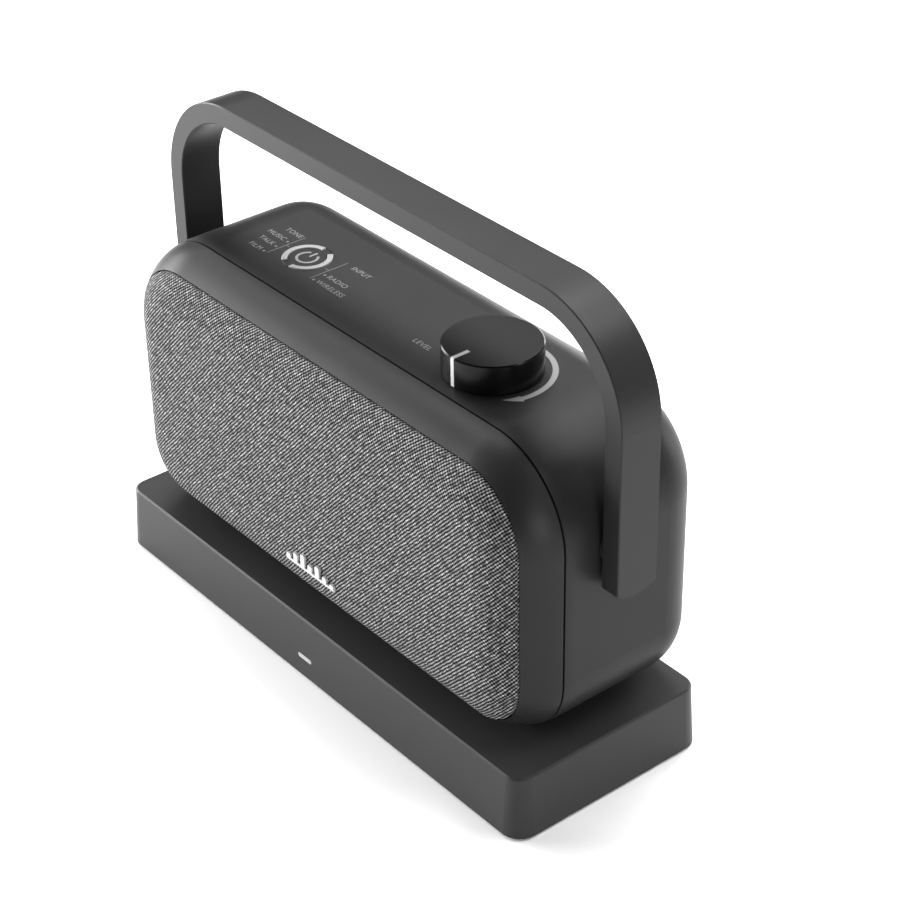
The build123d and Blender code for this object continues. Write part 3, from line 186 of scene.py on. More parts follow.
def moulded_plastic(name, grey, roughness, grain_mm, grain_depth_mm, tint=(1.0, 1.0, 1.0)):
    """Dark moulded plastic: a fine even grain, faint cloudiness in tone and in gloss."""
    material, tree_nodes, links, shader = new_material(name)
    place = tree_nodes.new("ShaderNodeTexCoord").outputs["Object"]
    shader.inputs["Specular IOR Level"].default_value = SATIN_REFLECTION
    grain = noise_at(tree_nodes, links, place, 1.0 / (grain_mm * MM), 2.0)
    bump = tree_nodes.new("ShaderNodeBump")
    bump.inputs["Strength"].default_value = 1.0
    bump.inputs["Distance"].default_value = grain_depth_mm * MM
    links.new(grain, bump.inputs["Height"])
    links.new(bump.outputs["Normal"], shader.inputs["Normal"])
    cloud = noise_at(tree_nodes, links, place, CLOUD_SCALE, 4.0)
    tone = tree_nodes.new("ShaderNodeMix")
    tone.data_type = "RGBA"
    dark = [(1 - TONE_SWING) * grey * part for part in tint]
    pale = [(1 + TONE_SWING) * grey * part for part in tint]
    tone.inputs["A"].default_value = (*dark, 1)
    tone.inputs["B"].default_value = (*pale, 1)
    speckle = noise_at(tree_nodes, links, place, 1.0 / (SPECKLE_SIZE * grain_mm * MM), 1.0)
    mottle = tree_nodes.new("ShaderNodeMath")
    mottle.operation = "MULTIPLY_ADD"
    mottle.inputs[1].default_value = SPECKLE_SHARE
    links.new(speckle, mottle.inputs[0])
    links.new(remap(tree_nodes, links, cloud, 0.0, CLOUD_SHARE), mottle.inputs[2])
    links.new(mottle.outputs[0], tone.inputs["Factor"])
    links.new(tone.outputs["Result"], shader.inputs["Base Color"])
    gloss = remap(tree_nodes, links, cloud, roughness - GLOSS_SWING, roughness + GLOSS_SWING)
    links.new(gloss, shader.inputs["Roughness"])
    return material


def dress(material, *names):
    """Give CAD pieces their finish in every material slot."""
    for name in names:
        mesh = nodes[name].data
        mesh.materials.clear()
        mesh.materials.append(material)


base_plastic = moulded_plastic("base_plastic", 0.0265, 0.42, 0.35, 0.012)
dress(base_plastic, "base_shell")
plate_plastic = moulded_plastic("plate_plastic", 0.035, 0.6, 0.5, 0.02)
dress(plate_plastic, "base_plate")
RUBBER_BLACK = (0.012, 0.012, 0.012)
RUBBER_BLOOM = (0.035, 0.035, 0.035)
BLOOM_SCALE = 600.0
BLOOM_DEPTH = 0.02 * MM


def black_rubber(name):
    """Matt black rubber with a soft bloom."""
    material, tree_nodes, links, shader = new_material(name)
    place = tree_nodes.new("ShaderNodeTexCoord").outputs["Object"]
    bloom = noise_at(tree_nodes, links, place, BLOOM_SCALE, 5.0)
    links.new(remap(tree_nodes, links, bloom, 0.72, 0.9), shader.inputs["Roughness"])
    colour = ramp_between(tree_nodes, links, bloom, RUBBER_BLACK, RUBBER_BLOOM)
    links.new(colour, shader.inputs["Base Color"])
    bump = tree_nodes.new("ShaderNodeBump")
    bump.inputs["Distance"].default_value = BLOOM_DEPTH
    links.new(bloom, bump.inputs["Height"])
    links.new(bump.outputs["Normal"], shader.inputs["Normal"])
    return material


rubber = black_rubber("foot_rubber")
dress(rubber, "base_feet")
STREAK_SCALE = 2500.0
STREAK_SWING = 0.08


def plated_steel(name, colour, roughness):
    """Plated metal with fine drawn streaks."""
    material, tree_nodes, links, shader = new_material(name)
    place = tree_nodes.new("ShaderNodeTexCoord").outputs["Object"]
    streak = noise_at(tree_nodes, links, place, STREAK_SCALE, 6.0)
    shader.inputs["Base Color"].default_value = (*colour, 1)
    shader.inputs["Metallic"].default_value = 1.0
    gloss = remap(tree_nodes, links, streak, roughness - STREAK_SWING, roughness + STREAK_SWING)
    links.new(gloss, shader.inputs["Roughness"])
    return material


screw_steel = plated_steel("screw_steel", (0.5, 0.5, 0.52), 0.35)
dress(screw_steel, "base_screws")

# ---- Base works -----------------------------------------------------------------------------------
# Inside the base: a green circuit board, a black guide with two sprung gilt pins for charging,
# and at the back the power, line and optical sockets. A frosted window in front shows the light.
socket_black = moulded_plastic("socket_black", 0.012, 0.5, 0.6, 0.01)
dress(socket_black, "pin_block", "aux_jack", "optical_socket")
socket_steel = plated_steel("socket_steel", (0.62, 0.62, 0.63), 0.3)
dress(socket_steel, "power_socket")
gilt = plated_steel("gilt", (0.85, 0.6, 0.22), 0.25)
dress(gilt, "left_charging_pin", "right_charging_pin")
spring_steel = plated_steel("spring_steel", (0.45, 0.45, 0.47), 0.4)
dress(spring_steel, "left_pin_spring", "right_pin_spring")
dress(screw_steel, "base_board_screws")
TRACK_SCALE = 180.0
LACQUER_DARK = (0.01, 0.09, 0.035)
LACQUER_PALE = (0.012, 0.12, 0.045)
TRACK_GREEN = (0.02, 0.17, 0.07)
LACQUER_ROUGHNESS = 0.35


def solder_mask(name):
    """Green lacquered circuit board with paler tracks."""
    material, tree_nodes, links, shader = new_material(name)
    place = tree_nodes.new("ShaderNodeTexCoord").outputs["Object"]
    tracks = tree_nodes.new("ShaderNodeTexBrick")
    tracks.inputs["Scale"].default_value = TRACK_SCALE
    tracks.inputs["Color1"].default_value = (*LACQUER_DARK, 1)
    tracks.inputs["Color2"].default_value = (*LACQUER_PALE, 1)
    tracks.inputs["Mortar"].default_value = (*TRACK_GREEN, 1)
    links.new(place, tracks.inputs["Vector"])
    links.new(tracks.outputs["Color"], shader.inputs["Base Color"])
    shader.inputs["Roughness"].default_value = LACQUER_ROUGHNESS
    return material


circuit_green = solder_mask("circuit_green")
dress(circuit_green, "base_board")
WINDOW_GREY = (0.34, 0.34, 0.34)
WINDOW_GLOW = 0.08
FROST_SCALE = 3000.0
FROST_DIMMING = 0.8
FROST_SCATTER = 0.3
FROST_REACH = 0.5 * MM


def frosted_lens(name, colour, glow):
    """Frosted clear plastic, faintly lit from behind."""
    material, tree_nodes, links, shader = new_material(name)
    place = tree_nodes.new("ShaderNodeTexCoord").outputs["Object"]
    frost = noise_at(tree_nodes, links, place, FROST_SCALE, 2.0)
    dim = [FROST_DIMMING * part for part in colour]
    links.new(ramp_between(tree_nodes, links, frost, dim, colour), shader.inputs["Base Color"])
    shader.inputs["Roughness"].default_value = 0.4
    shader.inputs["Subsurface Weight"].default_value = FROST_SCATTER
    shader.inputs["Subsurface Radius"].default_value = (FROST_REACH, FROST_REACH, FROST_REACH)
    shader.inputs["Emission Color"].default_value = (*colour, 1)
    shader.inputs["Emission Strength"].default_value = glow
    return material


dress(frosted_lens("status_window", WINDOW_GREY, WINDOW_GLOW), "status_lens")

# ---- Speaker housing ------------------------------------------------------------------------------
# The body is a deep tub with wide rounded edges, moulded in dark plastic like the base. The front
# bezel is a second moulding, with a dark shadow gap all round, and four rubber pads lie underneath.
housing_plastic = moulded_plastic("housing_plastic", 0.0122, 0.44, 0.35, 0.012)
dress(housing_plastic, "main_housing", "front_bezel")
dress(rubber, "speaker_feet")

# ---- Speaker works --------------------------------------------------------------------------------
# Screwed into the housing are the main board with its two rear sockets and the control board with
# its key switches and volume control. Gilt pads under the body meet the pins of the base.
dress(circuit_green, "main_board", "control_board")
dress(socket_black, "headphone_jack", "control_switches")
dress(socket_steel, "charge_socket", "volume_control")
dress(spring_steel, "volume_shaft")
dress(gilt, "contact_pads")
dress(screw_steel, "main_board_screws", "control_board_screws", "battery_screws")

# ---- Printed marks --------------------------------------------------------------------------------
# The marks round the controls are pad-printed on the housing in pale grey ink: plain function
# words, two rules with a tick beside the keys, and the swelling arrow round the knob.
INK_LIFT = 0.03 * MM
top_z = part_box("main_housing")[1].z
knob_low, knob_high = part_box("volume_knob")
knob_centre = (knob_low + knob_high) / 2
power_low, power_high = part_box("power_button")
power_centre = (power_low + power_high) / 2
CAPITAL_SHARE = 0.69
LETTER_SPACING = 1.08


def mesh_piece(name, vertices, faces, material, body):
    """A new piece from its vertices and faces, riding on a body."""
    mesh = bpy.data.meshes.new(name)
    mesh.from_pydata(vertices, [], faces)
    mesh.validate()
    mesh.materials.append(material)
    piece = bpy.data.objects.new(name, mesh)
    bpy.context.scene.collection.objects.link(piece)
    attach(piece, body)
    return piece


class InkSheet:
    """Collects flat printed shapes at one height."""

    def __init__(self, height):
        self.height = height
        self.vertices = []
        self.faces = []

    def outline(self, points):
        """One flat face from its rim."""
        start = len(self.vertices)
        self.vertices += [(x, y, self.height) for x, y in points]
        self.faces.append(tuple(range(start, start + len(points))))

    def bar(self, x_low, x_high, y_low, y_high):
        """A straight rule between two corners."""
        self.outline([(x_low, y_low), (x_high, y_low), (x_high, y_high), (x_low, y_high)])

    def arc(self, centre, start_deg, end_deg, steps, radii):
        """A band of changing width; radii gives (inner, outer) at a share of the way along."""
        rim = []
        for step in range(steps + 1):
            share = step / steps
            angle = math.radians(start_deg + (end_deg - start_deg) * share)
            inner, outer = radii(share)
            ray = (math.cos(angle), math.sin(angle))
            rim.append([(centre[0] + r * ray[0], centre[1] + r * ray[1]) for r in (inner, outer)])
        for (a_in, a_out), (b_in, b_out) in zip(rim, rim[1:]):
            quad = [a_in, a_out, b_out, b_in] if end_deg > start_deg else [a_in, b_in, b_out, a_out]
            self.outline(quad)

    def words(self, text, x, y, height, align="LEFT"):
        """Plain lettering on one line, standing on y."""
        curve = bpy.data.curves.new("lettering", "FONT")
        curve.body = text
        curve.size = height / CAPITAL_SHARE
        curve.space_character = LETTER_SPACING
        curve.align_x = align
        holder = bpy.data.objects.new("lettering", curve)
        bpy.context.scene.collection.objects.link(holder)
        bpy.context.view_layer.update()
        shaped = holder.evaluated_get(bpy.context.evaluated_depsgraph_get())
        flat = bpy.data.meshes.new_from_object(shaped)
        start = len(self.vertices)
        self.vertices += [(x + v.co.x, y + v.co.y, self.height) for v in flat.vertices]
        self.faces += [tuple(start + i for i in p.vertices) for p in flat.polygons]
        bpy.data.objects.remove(holder)
        bpy.data.curves.remove(curve)
        bpy.data.meshes.remove(flat)


COVER_SCALE = 2200.0
THIN_COVER = 0.75


def printed_ink(name, grey):
    """Pale matt ink with slightly uneven cover."""
    material, tree_nodes, links, shader = new_material(name)
    place = tree_nodes.new("ShaderNodeTexCoord").outputs["Object"]
    cover = noise_at(tree_nodes, links, place, COVER_SCALE, 4.0)
    thin = [THIN_COVER * grey] * 3
    links.new(ramp_between(tree_nodes, links, cover, thin, [grey] * 3), shader.inputs["Base Color"])
    shader.inputs["Roughness"].default_value = 0.5
    return material


pale_ink = printed_ink("pale_ink", 0.17)
bright_ink = printed_ink("bright_ink", 0.2)
CAP_HEIGHT = 2.15 * MM
marks = InkSheet(top_z + INK_LIFT)
cluster_x = power_centre.x
cluster_y = power_centre.y
LEFT_RULE = -12.0 * MM
RIGHT_RULE = 12.1 * MM
RULE_HALF = 8.05 * MM
RULE_WIDTH = 0.22 * MM
LEFT_TICK = 1.7 * MM
RIGHT_TICK = 1.2 * LEFT_TICK
half_rule = RULE_WIDTH / 2
tick_low = cluster_y - half_rule
tick_high = cluster_y + half_rule
for rule in (LEFT_RULE, RIGHT_RULE):
    rule_x = cluster_x + rule
    marks.bar(rule_x - half_rule, rule_x + half_rule, cluster_y - RULE_HALF, cluster_y + RULE_HALF)
marks.bar(cluster_x + LEFT_RULE, cluster_x + LEFT_RULE + LEFT_TICK, tick_low, tick_high)
marks.bar(cluster_x + RIGHT_RULE - RIGHT_TICK, cluster_x + RIGHT_RULE, tick_low, tick_high)
# Each word, where it stands from the power key's middle in millimetres, and its fixed side.
KEY_WORDS = (
    ("MUSIC", -15.4, 1.0, "RIGHT"),
    ("TALK", -15.4, -3.8, "RIGHT"),
    ("FILM", -15.4, -9.0, "RIGHT"),
    ("TONE", -13.0, 6.3, "RIGHT"),
    ("INPUT", 15.8, 6.2, "LEFT"),
    ("RADIO", 15.3, -3.6, "LEFT"),
    ("WIRELESS", 15.3, -8.2, "LEFT"),
)
for word, right_mm, up_mm, side in KEY_WORDS:
    marks.words(word, cluster_x + right_mm * MM, cluster_y + up_mm * MM, CAP_HEIGHT, side)
LEVEL_LEFT = 22.0 * MM
LEVEL_DOWN = 8.0 * MM
marks.words("LEVEL", knob_centre.x - LEVEL_LEFT, knob_centre.y - LEVEL_DOWN, CAP_HEIGHT, "RIGHT")
mesh_piece("printed_marks", marks.vertices, marks.faces, pale_ink, "speaker")

ARC_INNER = 18.5 * MM
ARC_OUTER = 20.4 * MM
ARC_START = 168.0
ARC_END = -13.0
ARC_STEPS = 96
THIN_START = 0.15
SWELL_RATE = 1.9
ARROW_TIP = -32.0
HEAD_INNER = 17.9 * MM
HEAD_OUTER = 21.2 * MM
HEAD_STEPS = 14
TIP_RADIUS = 18.3 * MM
TIP_WIDTH = 0.02 * MM
arrow = InkSheet(top_z + INK_LIFT)


def swell(share):
    """The level mark grows from a hair line to its full width over its first part."""
    width = (ARC_OUTER - ARC_INNER) * min(1.0, THIN_START + SWELL_RATE * share)
    return (ARC_OUTER - width, ARC_OUTER)


arrow.arc(knob_centre, ARC_START, ARC_END, ARC_STEPS, swell)


def head(share):
    """The arrow head narrows to its tip."""
    inner = HEAD_INNER + (TIP_RADIUS - HEAD_INNER) * share
    outer = HEAD_OUTER + (TIP_RADIUS - HEAD_OUTER) * share
    return (inner, outer + TIP_WIDTH)


arrow.arc(knob_centre, ARC_END, ARROW_TIP, HEAD_STEPS, head)
mesh_piece("level_arrow", arrow.vertices, arrow.faces, bright_ink, "speaker")

# ---- Keys and lights ------------------------------------------------------------------------------
# The round power key is dark with a printed sign; the two half-ring keys beside it are moulded
# in pale grey plastic and stand a little proud. Five light pipes end flush beside the words.
dark_key = moulded_plastic("dark_key", 0.0122, 0.4, 0.35, 0.01)
dress(dark_key, "power_button")
HAZE_SCALE = 900.0
HAZE_DIMMING = 0.93
KEY_SCATTER = 0.15
KEY_REACH = 0.4 * MM


def pale_key_plastic(name, grey):
    """Pale satin key plastic, a touch translucent."""
    material, tree_nodes, links, shader = new_material(name)
    place = tree_nodes.new("ShaderNodeTexCoord").outputs["Object"]
    haze = noise_at(tree_nodes, links, place, HAZE_SCALE, 3.0)
    dim = [HAZE_DIMMING * grey] * 3
    links.new(ramp_between(tree_nodes, links, haze, dim, [grey] * 3), shader.inputs["Base Color"])
    links.new(remap(tree_nodes, links, haze, 0.3, 0.4), shader.inputs["Roughness"])
    shader.inputs["Subsurface Weight"].default_value = KEY_SCATTER
    shader.inputs["Subsurface Radius"].default_value = (KEY_REACH, KEY_REACH, KEY_REACH)
    return material


pale_key = pale_key_plastic("pale_key", 0.26)
dress(pale_key, "tone_button", "input_button")

SIGN_INNER = 3.2 * MM
SIGN_OUTER = 4.1 * MM
SIGN_GAP = 32.0
SIGN_STEPS = 64
STROKE_HALF = 0.42 * MM
STROKE_LOW = 0.9 * MM
STROKE_HIGH = 4.4 * MM
sign = InkSheet(power_high.z + INK_LIFT)
sign.arc(power_centre, 90 + SIGN_GAP, 450 - SIGN_GAP, SIGN_STEPS, lambda share: (SIGN_INNER, SIGN_OUTER))
sign.bar(cluster_x - STROKE_HALF, cluster_x + STROKE_HALF, cluster_y + STROKE_LOW, cluster_y + STROKE_HIGH)
mesh_piece("power_sign", sign.vertices, sign.faces, bright_ink, "power_key")
PIPE_COLOUR = (0.11, 0.13, 0.10)
PIPE_GLOW = 0.03
dress(frosted_lens("light_pipe", PIPE_COLOUR, PIPE_GLOW), "indicator_lenses")

# ---- Grille cloth ---------------------------------------------------------------------------------
# The front is covered with a heathered twill, pale yarn over black, stretched and glued on the
# grille panel. It follows the rounded front edge and is tucked into the groove of the bezel.
BODY_CORNER_TOP = 31.5 * MM
BODY_CORNER_BOTTOM = 26.0 * MM
FRONT_ROUND = 22.0 * MM
CLOTH_INSET = 7.2 * MM
CLOTH_EDGE_RADIUS = 0.45 * MM
CLOTH_RIM_STEPS = 14
CLOTH_FLAT_STEPS = 5
EDGE_STEPS = 4
FLAT_END = 25.5 * MM
TUCK_DEPTH = 1.6 * MM
LOOP_POINTS = 480
body_low, body_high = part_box("main_housing")
cloth_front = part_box("grille_cloth")[0].y


def side_normal(quarter):
    """Outward direction after so many quarter turns from +X."""
    angle = quarter * math.pi / 2
    return Vector((round(math.cos(angle)), round(math.sin(angle))))


def outline_point(share, inset):
    """A point and outward direction on the body outline, drawn in by the inset."""
    half_width = (body_high.x - body_low.x) / 2
    radii = (BODY_CORNER_TOP, BODY_CORNER_TOP, BODY_CORNER_BOTTOM, BODY_CORNER_BOTTOM)
    centres = (
        (half_width - radii[0], body_high.z - radii[0]),
        (-half_width + radii[1], body_high.z - radii[1]),
        (-half_width + radii[2], body_low.z + radii[2]),
        (half_width - radii[3], body_low.z + radii[3]),
    )
    lengths = []
    for corner in range(4):
        following = (corner + 1) % 4
        gap = Vector(centres[corner]) + radii[corner] * side_normal(corner + 1)
        gap -= Vector(centres[following]) + radii[following] * side_normal(corner + 1)
        lengths += [radii[corner] * math.pi / 2, gap.length]
    run = (share % 1.0) * sum(lengths)
    stretch = 0
    while run > lengths[stretch]:
        run -= lengths[stretch]
        stretch += 1
    corner = stretch // 2
    if stretch % 2 == 0:
        angle = corner * math.pi / 2 + run / radii[corner]
        normal = Vector((math.cos(angle), math.sin(angle)))
        point = Vector(centres[corner]) + radii[corner] * normal
    else:
        normal = side_normal(corner + 1)
        following = (corner + 1) % 4
        start = Vector(centres[corner]) + radii[corner] * normal
        end = Vector(centres[following]) + radii[following] * normal
        point = start.lerp(end, run / lengths[stretch])
    return point - normal * inset, normal


def cloth_depth(inset):
    """How far the cloth lies behind the front plane at an inset from the outline."""
    if inset >= FRONT_ROUND:
        return 0.0
    return FRONT_ROUND - math.sqrt(FRONT_ROUND**2 - (FRONT_ROUND - inset) ** 2)


def wrap_excess(inset):
    """How much longer the cloth is than its front view, from the flat to this inset."""
    if inset >= FRONT_ROUND:
        return 0.0
    flat_reach = FRONT_ROUND - inset
    return FRONT_ROUND * math.asin(flat_reach / FRONT_ROUND) - flat_reach


edge_depth = cloth_depth(CLOTH_INSET + CLOTH_EDGE_RADIUS)
# From the hidden tucked hem, over the turned edge, then across the rounded front to the flat.
rings = [(CLOTH_INSET, edge_depth + CLOTH_EDGE_RADIUS + TUCK_DEPTH)]
for step in range(EDGE_STEPS, -1, -1):
    turn = math.pi / 2 * step / EDGE_STEPS
    inset = CLOTH_INSET + CLOTH_EDGE_RADIUS * (1 - math.sin(turn))
    rings.append((inset, edge_depth + CLOTH_EDGE_RADIUS * (1 - math.cos(turn))))
for step in range(1, CLOTH_RIM_STEPS + 1):
    share = step / CLOTH_RIM_STEPS
    inset = CLOTH_INSET + CLOTH_EDGE_RADIUS + (FRONT_ROUND - CLOTH_INSET - CLOTH_EDGE_RADIUS) * share
    rings.append((inset, cloth_depth(inset)))
for step in range(1, CLOTH_FLAT_STEPS + 1):
    inset = FRONT_ROUND + (FLAT_END - FRONT_ROUND) * step / CLOTH_FLAT_STEPS
    rings.append((inset, 0.0))

cloth_mesh = bmesh.new()
weave_layer = cloth_mesh.loops.layers.uv.new("weave")
ring_vertices = []
flat_places = {}
for inset, depth in rings:
    loop = []
    for index in range(LOOP_POINTS):
        (x, z), normal = outline_point(index / LOOP_POINTS, inset)
        vertex = cloth_mesh.verts.new((x, cloth_front + depth, z))
        extra = wrap_excess(max(inset, CLOTH_INSET)) + max(0.0, depth - cloth_depth(CLOTH_INSET))
        flat_places[vertex] = (x + normal.x * extra, z + normal.y * extra)
        loop.append(vertex)
    ring_vertices.append(loop)
for outer, inner in zip(ring_vertices, ring_vertices[1:]):
    for index in range(LOOP_POINTS):
        following = (index + 1) % LOOP_POINTS
        cloth_mesh.faces.new((outer[index], outer[following], inner[following], inner[index]))
cloth_mesh.faces.new(ring_vertices[-1])
for face in cloth_mesh.faces:
    face.smooth = True
    for corner in face.loops:
        corner[weave_layer].uv = flat_places[corner.vert]
bmesh.ops.recalc_face_normals(cloth_mesh, faces=cloth_mesh.faces)
cloth_data = bpy.data.meshes.new("grille_weave")
cloth_mesh.to_mesh(cloth_data)
cloth_mesh.free()
# The cloth is an open sheet, so its right side is turned to the front here.
if sum(face.normal.y * face.area for face in cloth_data.polygons) > 0:
    cloth_data.flip_normals()
grille_weave = bpy.data.objects.new("grille_weave", cloth_data)
bpy.context.scene.collection.objects.link(grille_weave)

YARN_PITCH_X = 0.725 * MM
YARN_PITCH_Z = 0.75 * MM
YARN_WANDER = 1.1
WANDER_SCALE = 420.0
CROSS_SWELL = 0.78
RUN_SWELL = 0.46
GRAIN_LEVEL = 0.24
PALE_YARN = 0.14
GRAIN_SPREAD = 0.16
DARK_YARN = 0.003
YARN_CLOUD_SCALE = 520.0
CLOUD_CONTRAST = 3.2
CLOUD_LEVEL = -0.6
YARN_HEIGHT = 0.15 * MM


def heather_weave(name):
    """Heathered grille cloth: pale grains in slanting ribs, rising to the right, over black yarn."""
    material, tree_nodes, links, shader = new_material(name)
    uv = tree_nodes.new("ShaderNodeUVMap")
    uv.uv_map = "weave"

    def reckon(operation, first, second=None, third=None):
        """One step of arithmetic on sockets or plain numbers."""
        node = tree_nodes.new("ShaderNodeMath")
        node.operation = operation
        for socket, value in zip(node.inputs, (first, second, third)):
            if value is None:
                continue
            if isinstance(value, (int, float)):
                socket.default_value = value
            else:
                links.new(value, socket)
        return node.outputs[0]

    def noise(scale, detail):
        """A noise that follows the cloth."""
        node = tree_nodes.new("ShaderNodeTexNoise")
        node.inputs["Scale"].default_value = scale
        node.inputs["Detail"].default_value = detail
        links.new(uv.outputs["UV"], node.inputs["Vector"])
        return node.outputs

    split = tree_nodes.new("ShaderNodeSeparateXYZ")
    links.new(uv.outputs["UV"], split.inputs[0])
    wander = tree_nodes.new("ShaderNodeSeparateColor")
    links.new(noise(WANDER_SCALE, 3.0)["Color"], wander.inputs[0])
    across = reckon("DIVIDE", split.outputs["X"], YARN_PITCH_X)
    across = reckon("MULTIPLY_ADD", wander.outputs["Red"], YARN_WANDER, across)
    upward = reckon("DIVIDE", split.outputs["Y"], YARN_PITCH_Z)
    upward = reckon("MULTIPLY_ADD", wander.outputs["Green"], YARN_WANDER, upward)
    # Along the rib and across it, one grain of pale yarn for every whole step of both.
    rib_run = reckon("MULTIPLY", reckon("ADD", across, upward), 0.5)
    rib_cross = reckon("MULTIPLY", reckon("SUBTRACT", across, upward), 0.5)
    run_place = reckon("SUBTRACT", rib_run, reckon("ROUND", rib_run))
    cross_place = reckon("SUBTRACT", rib_cross, reckon("ROUND", rib_cross))
    run_wave = reckon("COSINE", reckon("MULTIPLY", run_place, math.tau))
    cross_wave = reckon("COSINE", reckon("MULTIPLY", cross_place, math.tau))
    grain = reckon("MULTIPLY_ADD", run_wave, RUN_SWELL, GRAIN_LEVEL)
    grain = reckon("MULTIPLY_ADD", cross_wave, CROSS_SWELL, grain)
    grain = reckon("MINIMUM", reckon("MAXIMUM", grain, 0.0), 1.0)
    # Heather: every grain has its own shade, and the yarn clouds slowly from place to place.
    cell = tree_nodes.new("ShaderNodeCombineXYZ")
    links.new(reckon("ROUND", rib_run), cell.inputs["X"])
    links.new(reckon("ROUND", rib_cross), cell.inputs["Y"])
    shade = tree_nodes.new("ShaderNodeTexWhiteNoise")
    shade.noise_dimensions = "2D"
    links.new(cell.outputs[0], shade.inputs["Vector"])
    cloud = noise(YARN_CLOUD_SCALE, 4.0)["Fac"]
    pale = reckon("MULTIPLY_ADD", shade.outputs["Value"], GRAIN_SPREAD, PALE_YARN)
    pale = reckon("MULTIPLY", pale, reckon("MULTIPLY_ADD", cloud, CLOUD_CONTRAST, CLOUD_LEVEL))
    tone = reckon("MULTIPLY_ADD", grain, pale, DARK_YARN)
    grey = tree_nodes.new("ShaderNodeCombineColor")
    for channel in ("Red", "Green", "Blue"):
        links.new(tone, grey.inputs[channel])
    links.new(grey.outputs[0], shader.inputs["Base Color"])
    bump = tree_nodes.new("ShaderNodeBump")
    bump.inputs["Strength"].default_value = 0.7
    bump.inputs["Distance"].default_value = YARN_HEIGHT
    links.new(grain, bump.inputs["Height"])
    links.new(bump.outputs["Normal"], shader.inputs["Normal"])
    shader.inputs["Roughness"].default_value = 0.9
    shader.inputs["Specular IOR Level"].default_value = 0.1
    return material


grille_weave.data.materials.append(heather_weave("grille_weave"))
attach(grille_weave, "speaker")
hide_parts("grille_cloth")
grille_black = moulded_plastic("grille_black", 0.02, 0.6, 0.5, 0.02)
dress(grille_black, "grille_panel")

# ---- Emblem ---------------------------------------------------------------------------------------
# A small raised emblem of level bars is moulded in white plastic and fixed through the cloth
# with a little glue, low on the front.
white_plastic = pale_key_plastic("emblem_white", 0.45)
dress(white_plastic, "badge")

# ---- Volume knob ----------------------------------------------------------------------------------
# The knob is a plain drum, gloss black on its side with a finely spun satin top, pressed on its
# shaft. A white bar let into the top and side shows its setting.
TURNING_SCALE = 5000.0
TURNING_DEPTH = 0.004 * MM
TOP_FACING = 0.9
SIDE_ROUGHNESS = 0.22
TOP_ROUGHNESS = 0.36
SIDE_BLACK = (0.003, 0.003, 0.0031)
TOP_BLACK = (0.0063, 0.0063, 0.0065)


def spun_black(name, centre):
    """Black knob plastic: circular turning marks on top, polished round the side."""
    material, tree_nodes, links, shader = new_material(name)
    coordinates = tree_nodes.new("ShaderNodeTexCoord")
    middle = tree_nodes.new("ShaderNodeMapping")
    middle.inputs["Location"].default_value = (-centre.x, -centre.y, 0)
    links.new(coordinates.outputs["Object"], middle.inputs["Vector"])
    split = tree_nodes.new("ShaderNodeSeparateXYZ")
    links.new(middle.outputs["Vector"], split.inputs[0])
    flat = tree_nodes.new("ShaderNodeCombineXYZ")
    links.new(split.outputs["X"], flat.inputs["X"])
    links.new(split.outputs["Y"], flat.inputs["Y"])
    radius = tree_nodes.new("ShaderNodeVectorMath")
    radius.operation = "LENGTH"
    links.new(flat.outputs[0], radius.inputs[0])
    turning = tree_nodes.new("ShaderNodeTexNoise")
    turning.noise_dimensions = "1D"
    turning.inputs["Scale"].default_value = TURNING_SCALE
    turning.inputs["Detail"].default_value = 3.0
    links.new(radius.outputs["Value"], turning.inputs["W"])
    normal_parts = tree_nodes.new("ShaderNodeSeparateXYZ")
    links.new(coordinates.outputs["Normal"], normal_parts.inputs[0])
    on_top = tree_nodes.new("ShaderNodeMath")
    on_top.operation = "GREATER_THAN"
    on_top.inputs[1].default_value = TOP_FACING
    links.new(normal_parts.outputs["Z"], on_top.inputs[0])
    bump = tree_nodes.new("ShaderNodeBump")
    bump.inputs["Distance"].default_value = TURNING_DEPTH
    masked = tree_nodes.new("ShaderNodeMath")
    masked.operation = "MULTIPLY"
    links.new(turning.outputs["Fac"], masked.inputs[0])
    links.new(on_top.outputs[0], masked.inputs[1])
    links.new(masked.outputs[0], bump.inputs["Height"])
    links.new(bump.outputs["Normal"], shader.inputs["Normal"])
    gloss = tree_nodes.new("ShaderNodeMapRange")
    gloss.inputs["To Min"].default_value = SIDE_ROUGHNESS
    gloss.inputs["To Max"].default_value = TOP_ROUGHNESS
    links.new(on_top.outputs[0], gloss.inputs["Value"])
    links.new(gloss.outputs["Result"], shader.inputs["Roughness"])
    tone = tree_nodes.new("ShaderNodeMix")
    tone.data_type = "RGBA"
    tone.inputs["A"].default_value = (*SIDE_BLACK, 1)
    tone.inputs["B"].default_value = (*TOP_BLACK, 1)
    links.new(on_top.outputs[0], tone.inputs["Factor"])
    links.new(tone.outputs["Result"], shader.inputs["Base Color"])
    shader.inputs["Specular IOR Level"].default_value = SATIN_REFLECTION
    return material


dress(spun_black("knob_black", knob_centre), "volume_knob")
dress(white_plastic, "knob_pointer")

# ---- Carrying handle ------------------------------------------------------------------------------
# The handle is one flat bar bent into a bow with round shoulders, coated satin dark grey, with
# fine bevels. It turns on steel studs in plastic bushes; thin washers keep it off the housing.
COAT_GRAIN_SCALE = 4500.0
COAT_GRAIN_DEPTH = 0.006 * MM
COAT_CLOUD_SCALE = 30.0
COAT_SWING = 0.05
COAT_BLUE = 0.01


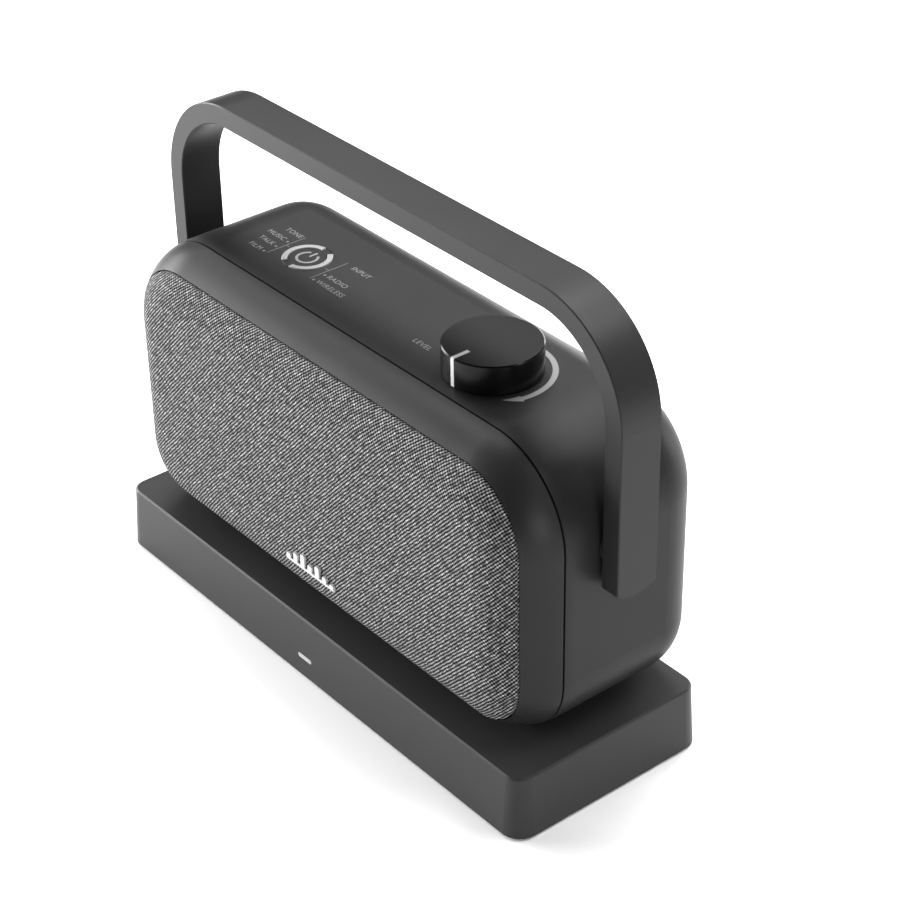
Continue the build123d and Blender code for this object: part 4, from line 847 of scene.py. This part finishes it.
def satin_metal(name, grey):
    """Satin dark grey finish over metal, with a very fine grain."""
    material, tree_nodes, links, shader = new_material(name)
    place = tree_nodes.new("ShaderNodeTexCoord").outputs["Object"]
    grain = noise_at(tree_nodes, links, place, COAT_GRAIN_SCALE, 2.0)
    cloud = noise_at(tree_nodes, links, place, COAT_CLOUD_SCALE, 4.0)
    shades = [(1 + swing, 1 + swing, 1 + swing + COAT_BLUE) for swing in (-COAT_SWING, COAT_SWING)]
    dark, pale = [[grey * part for part in shade] for shade in shades]
    links.new(ramp_between(tree_nodes, links, cloud, dark, pale), shader.inputs["Base Color"])
    links.new(remap(tree_nodes, links, cloud, 0.34, 0.40), shader.inputs["Roughness"])
    bump = tree_nodes.new("ShaderNodeBump")
    bump.inputs["Distance"].default_value = COAT_GRAIN_DEPTH
    links.new(grain, bump.inputs["Height"])
    links.new(bump.outputs["Normal"], shader.inputs["Normal"])
    shader.inputs["Specular IOR Level"].default_value = SATIN_REFLECTION
    return material


handle_satin = satin_metal("handle_satin", 0.0192)
dress(handle_satin, "handle")
dress(spring_steel, "left_handle_stud", "right_handle_stud")
bush_plastic = moulded_plastic("bush_plastic", 0.02, 0.45, 0.5, 0.01)
dress(bush_plastic, "left_handle_bush", "right_handle_bush", "left_handle_spacer", "right_handle_spacer")

# ---- Loudspeakers and cells -----------------------------------------------------------------------
# Behind the grille two loudspeakers are screwed to the baffle, with black paper cones in rubber
# surrounds, coated baskets and grey magnets. Two sleeved cells lie under a bracket behind them.
PULP_BLACK = (0.02, 0.02, 0.02)
PULP_FIBRE = (0.06, 0.06, 0.058)
FIBRE_SCALE = 1500.0


def pulp_paper(name):
    """Black pressed paper with long fibres."""
    material, tree_nodes, links, shader = new_material(name)
    place = tree_nodes.new("ShaderNodeTexCoord").outputs["Object"]
    fibres = noise_at(tree_nodes, links, place, FIBRE_SCALE, 6.0)
    colour = ramp_between(tree_nodes, links, fibres, PULP_BLACK, PULP_FIBRE)
    links.new(colour, shader.inputs["Base Color"])
    shader.inputs["Roughness"].default_value = 0.85
    return material


dress(grille_black, "baffle", "battery_bracket")
dress(screw_steel, "baffle_screws", "left_driver_screws", "right_driver_screws")
dress(rubber, "left_driver_surround", "right_driver_surround")
dress(pulp_paper("cone_pulp"), "left_driver_cone", "right_driver_cone")
basket_coat = moulded_plastic("basket_coat", 0.03, 0.5, 0.8, 0.02)
dress(basket_coat, "left_driver_basket", "right_driver_basket")
magnet_grey = moulded_plastic("magnet_grey", 0.09, 0.7, 0.6, 0.03)
dress(magnet_grey, "left_driver_magnet", "right_driver_magnet")
SLEEVE_BLUE = (0.2, 0.5, 1.2)
dress(moulded_plastic("cell_sleeve", 0.2, 0.3, 2.0, 0.004, SLEEVE_BLUE), "battery_cells")
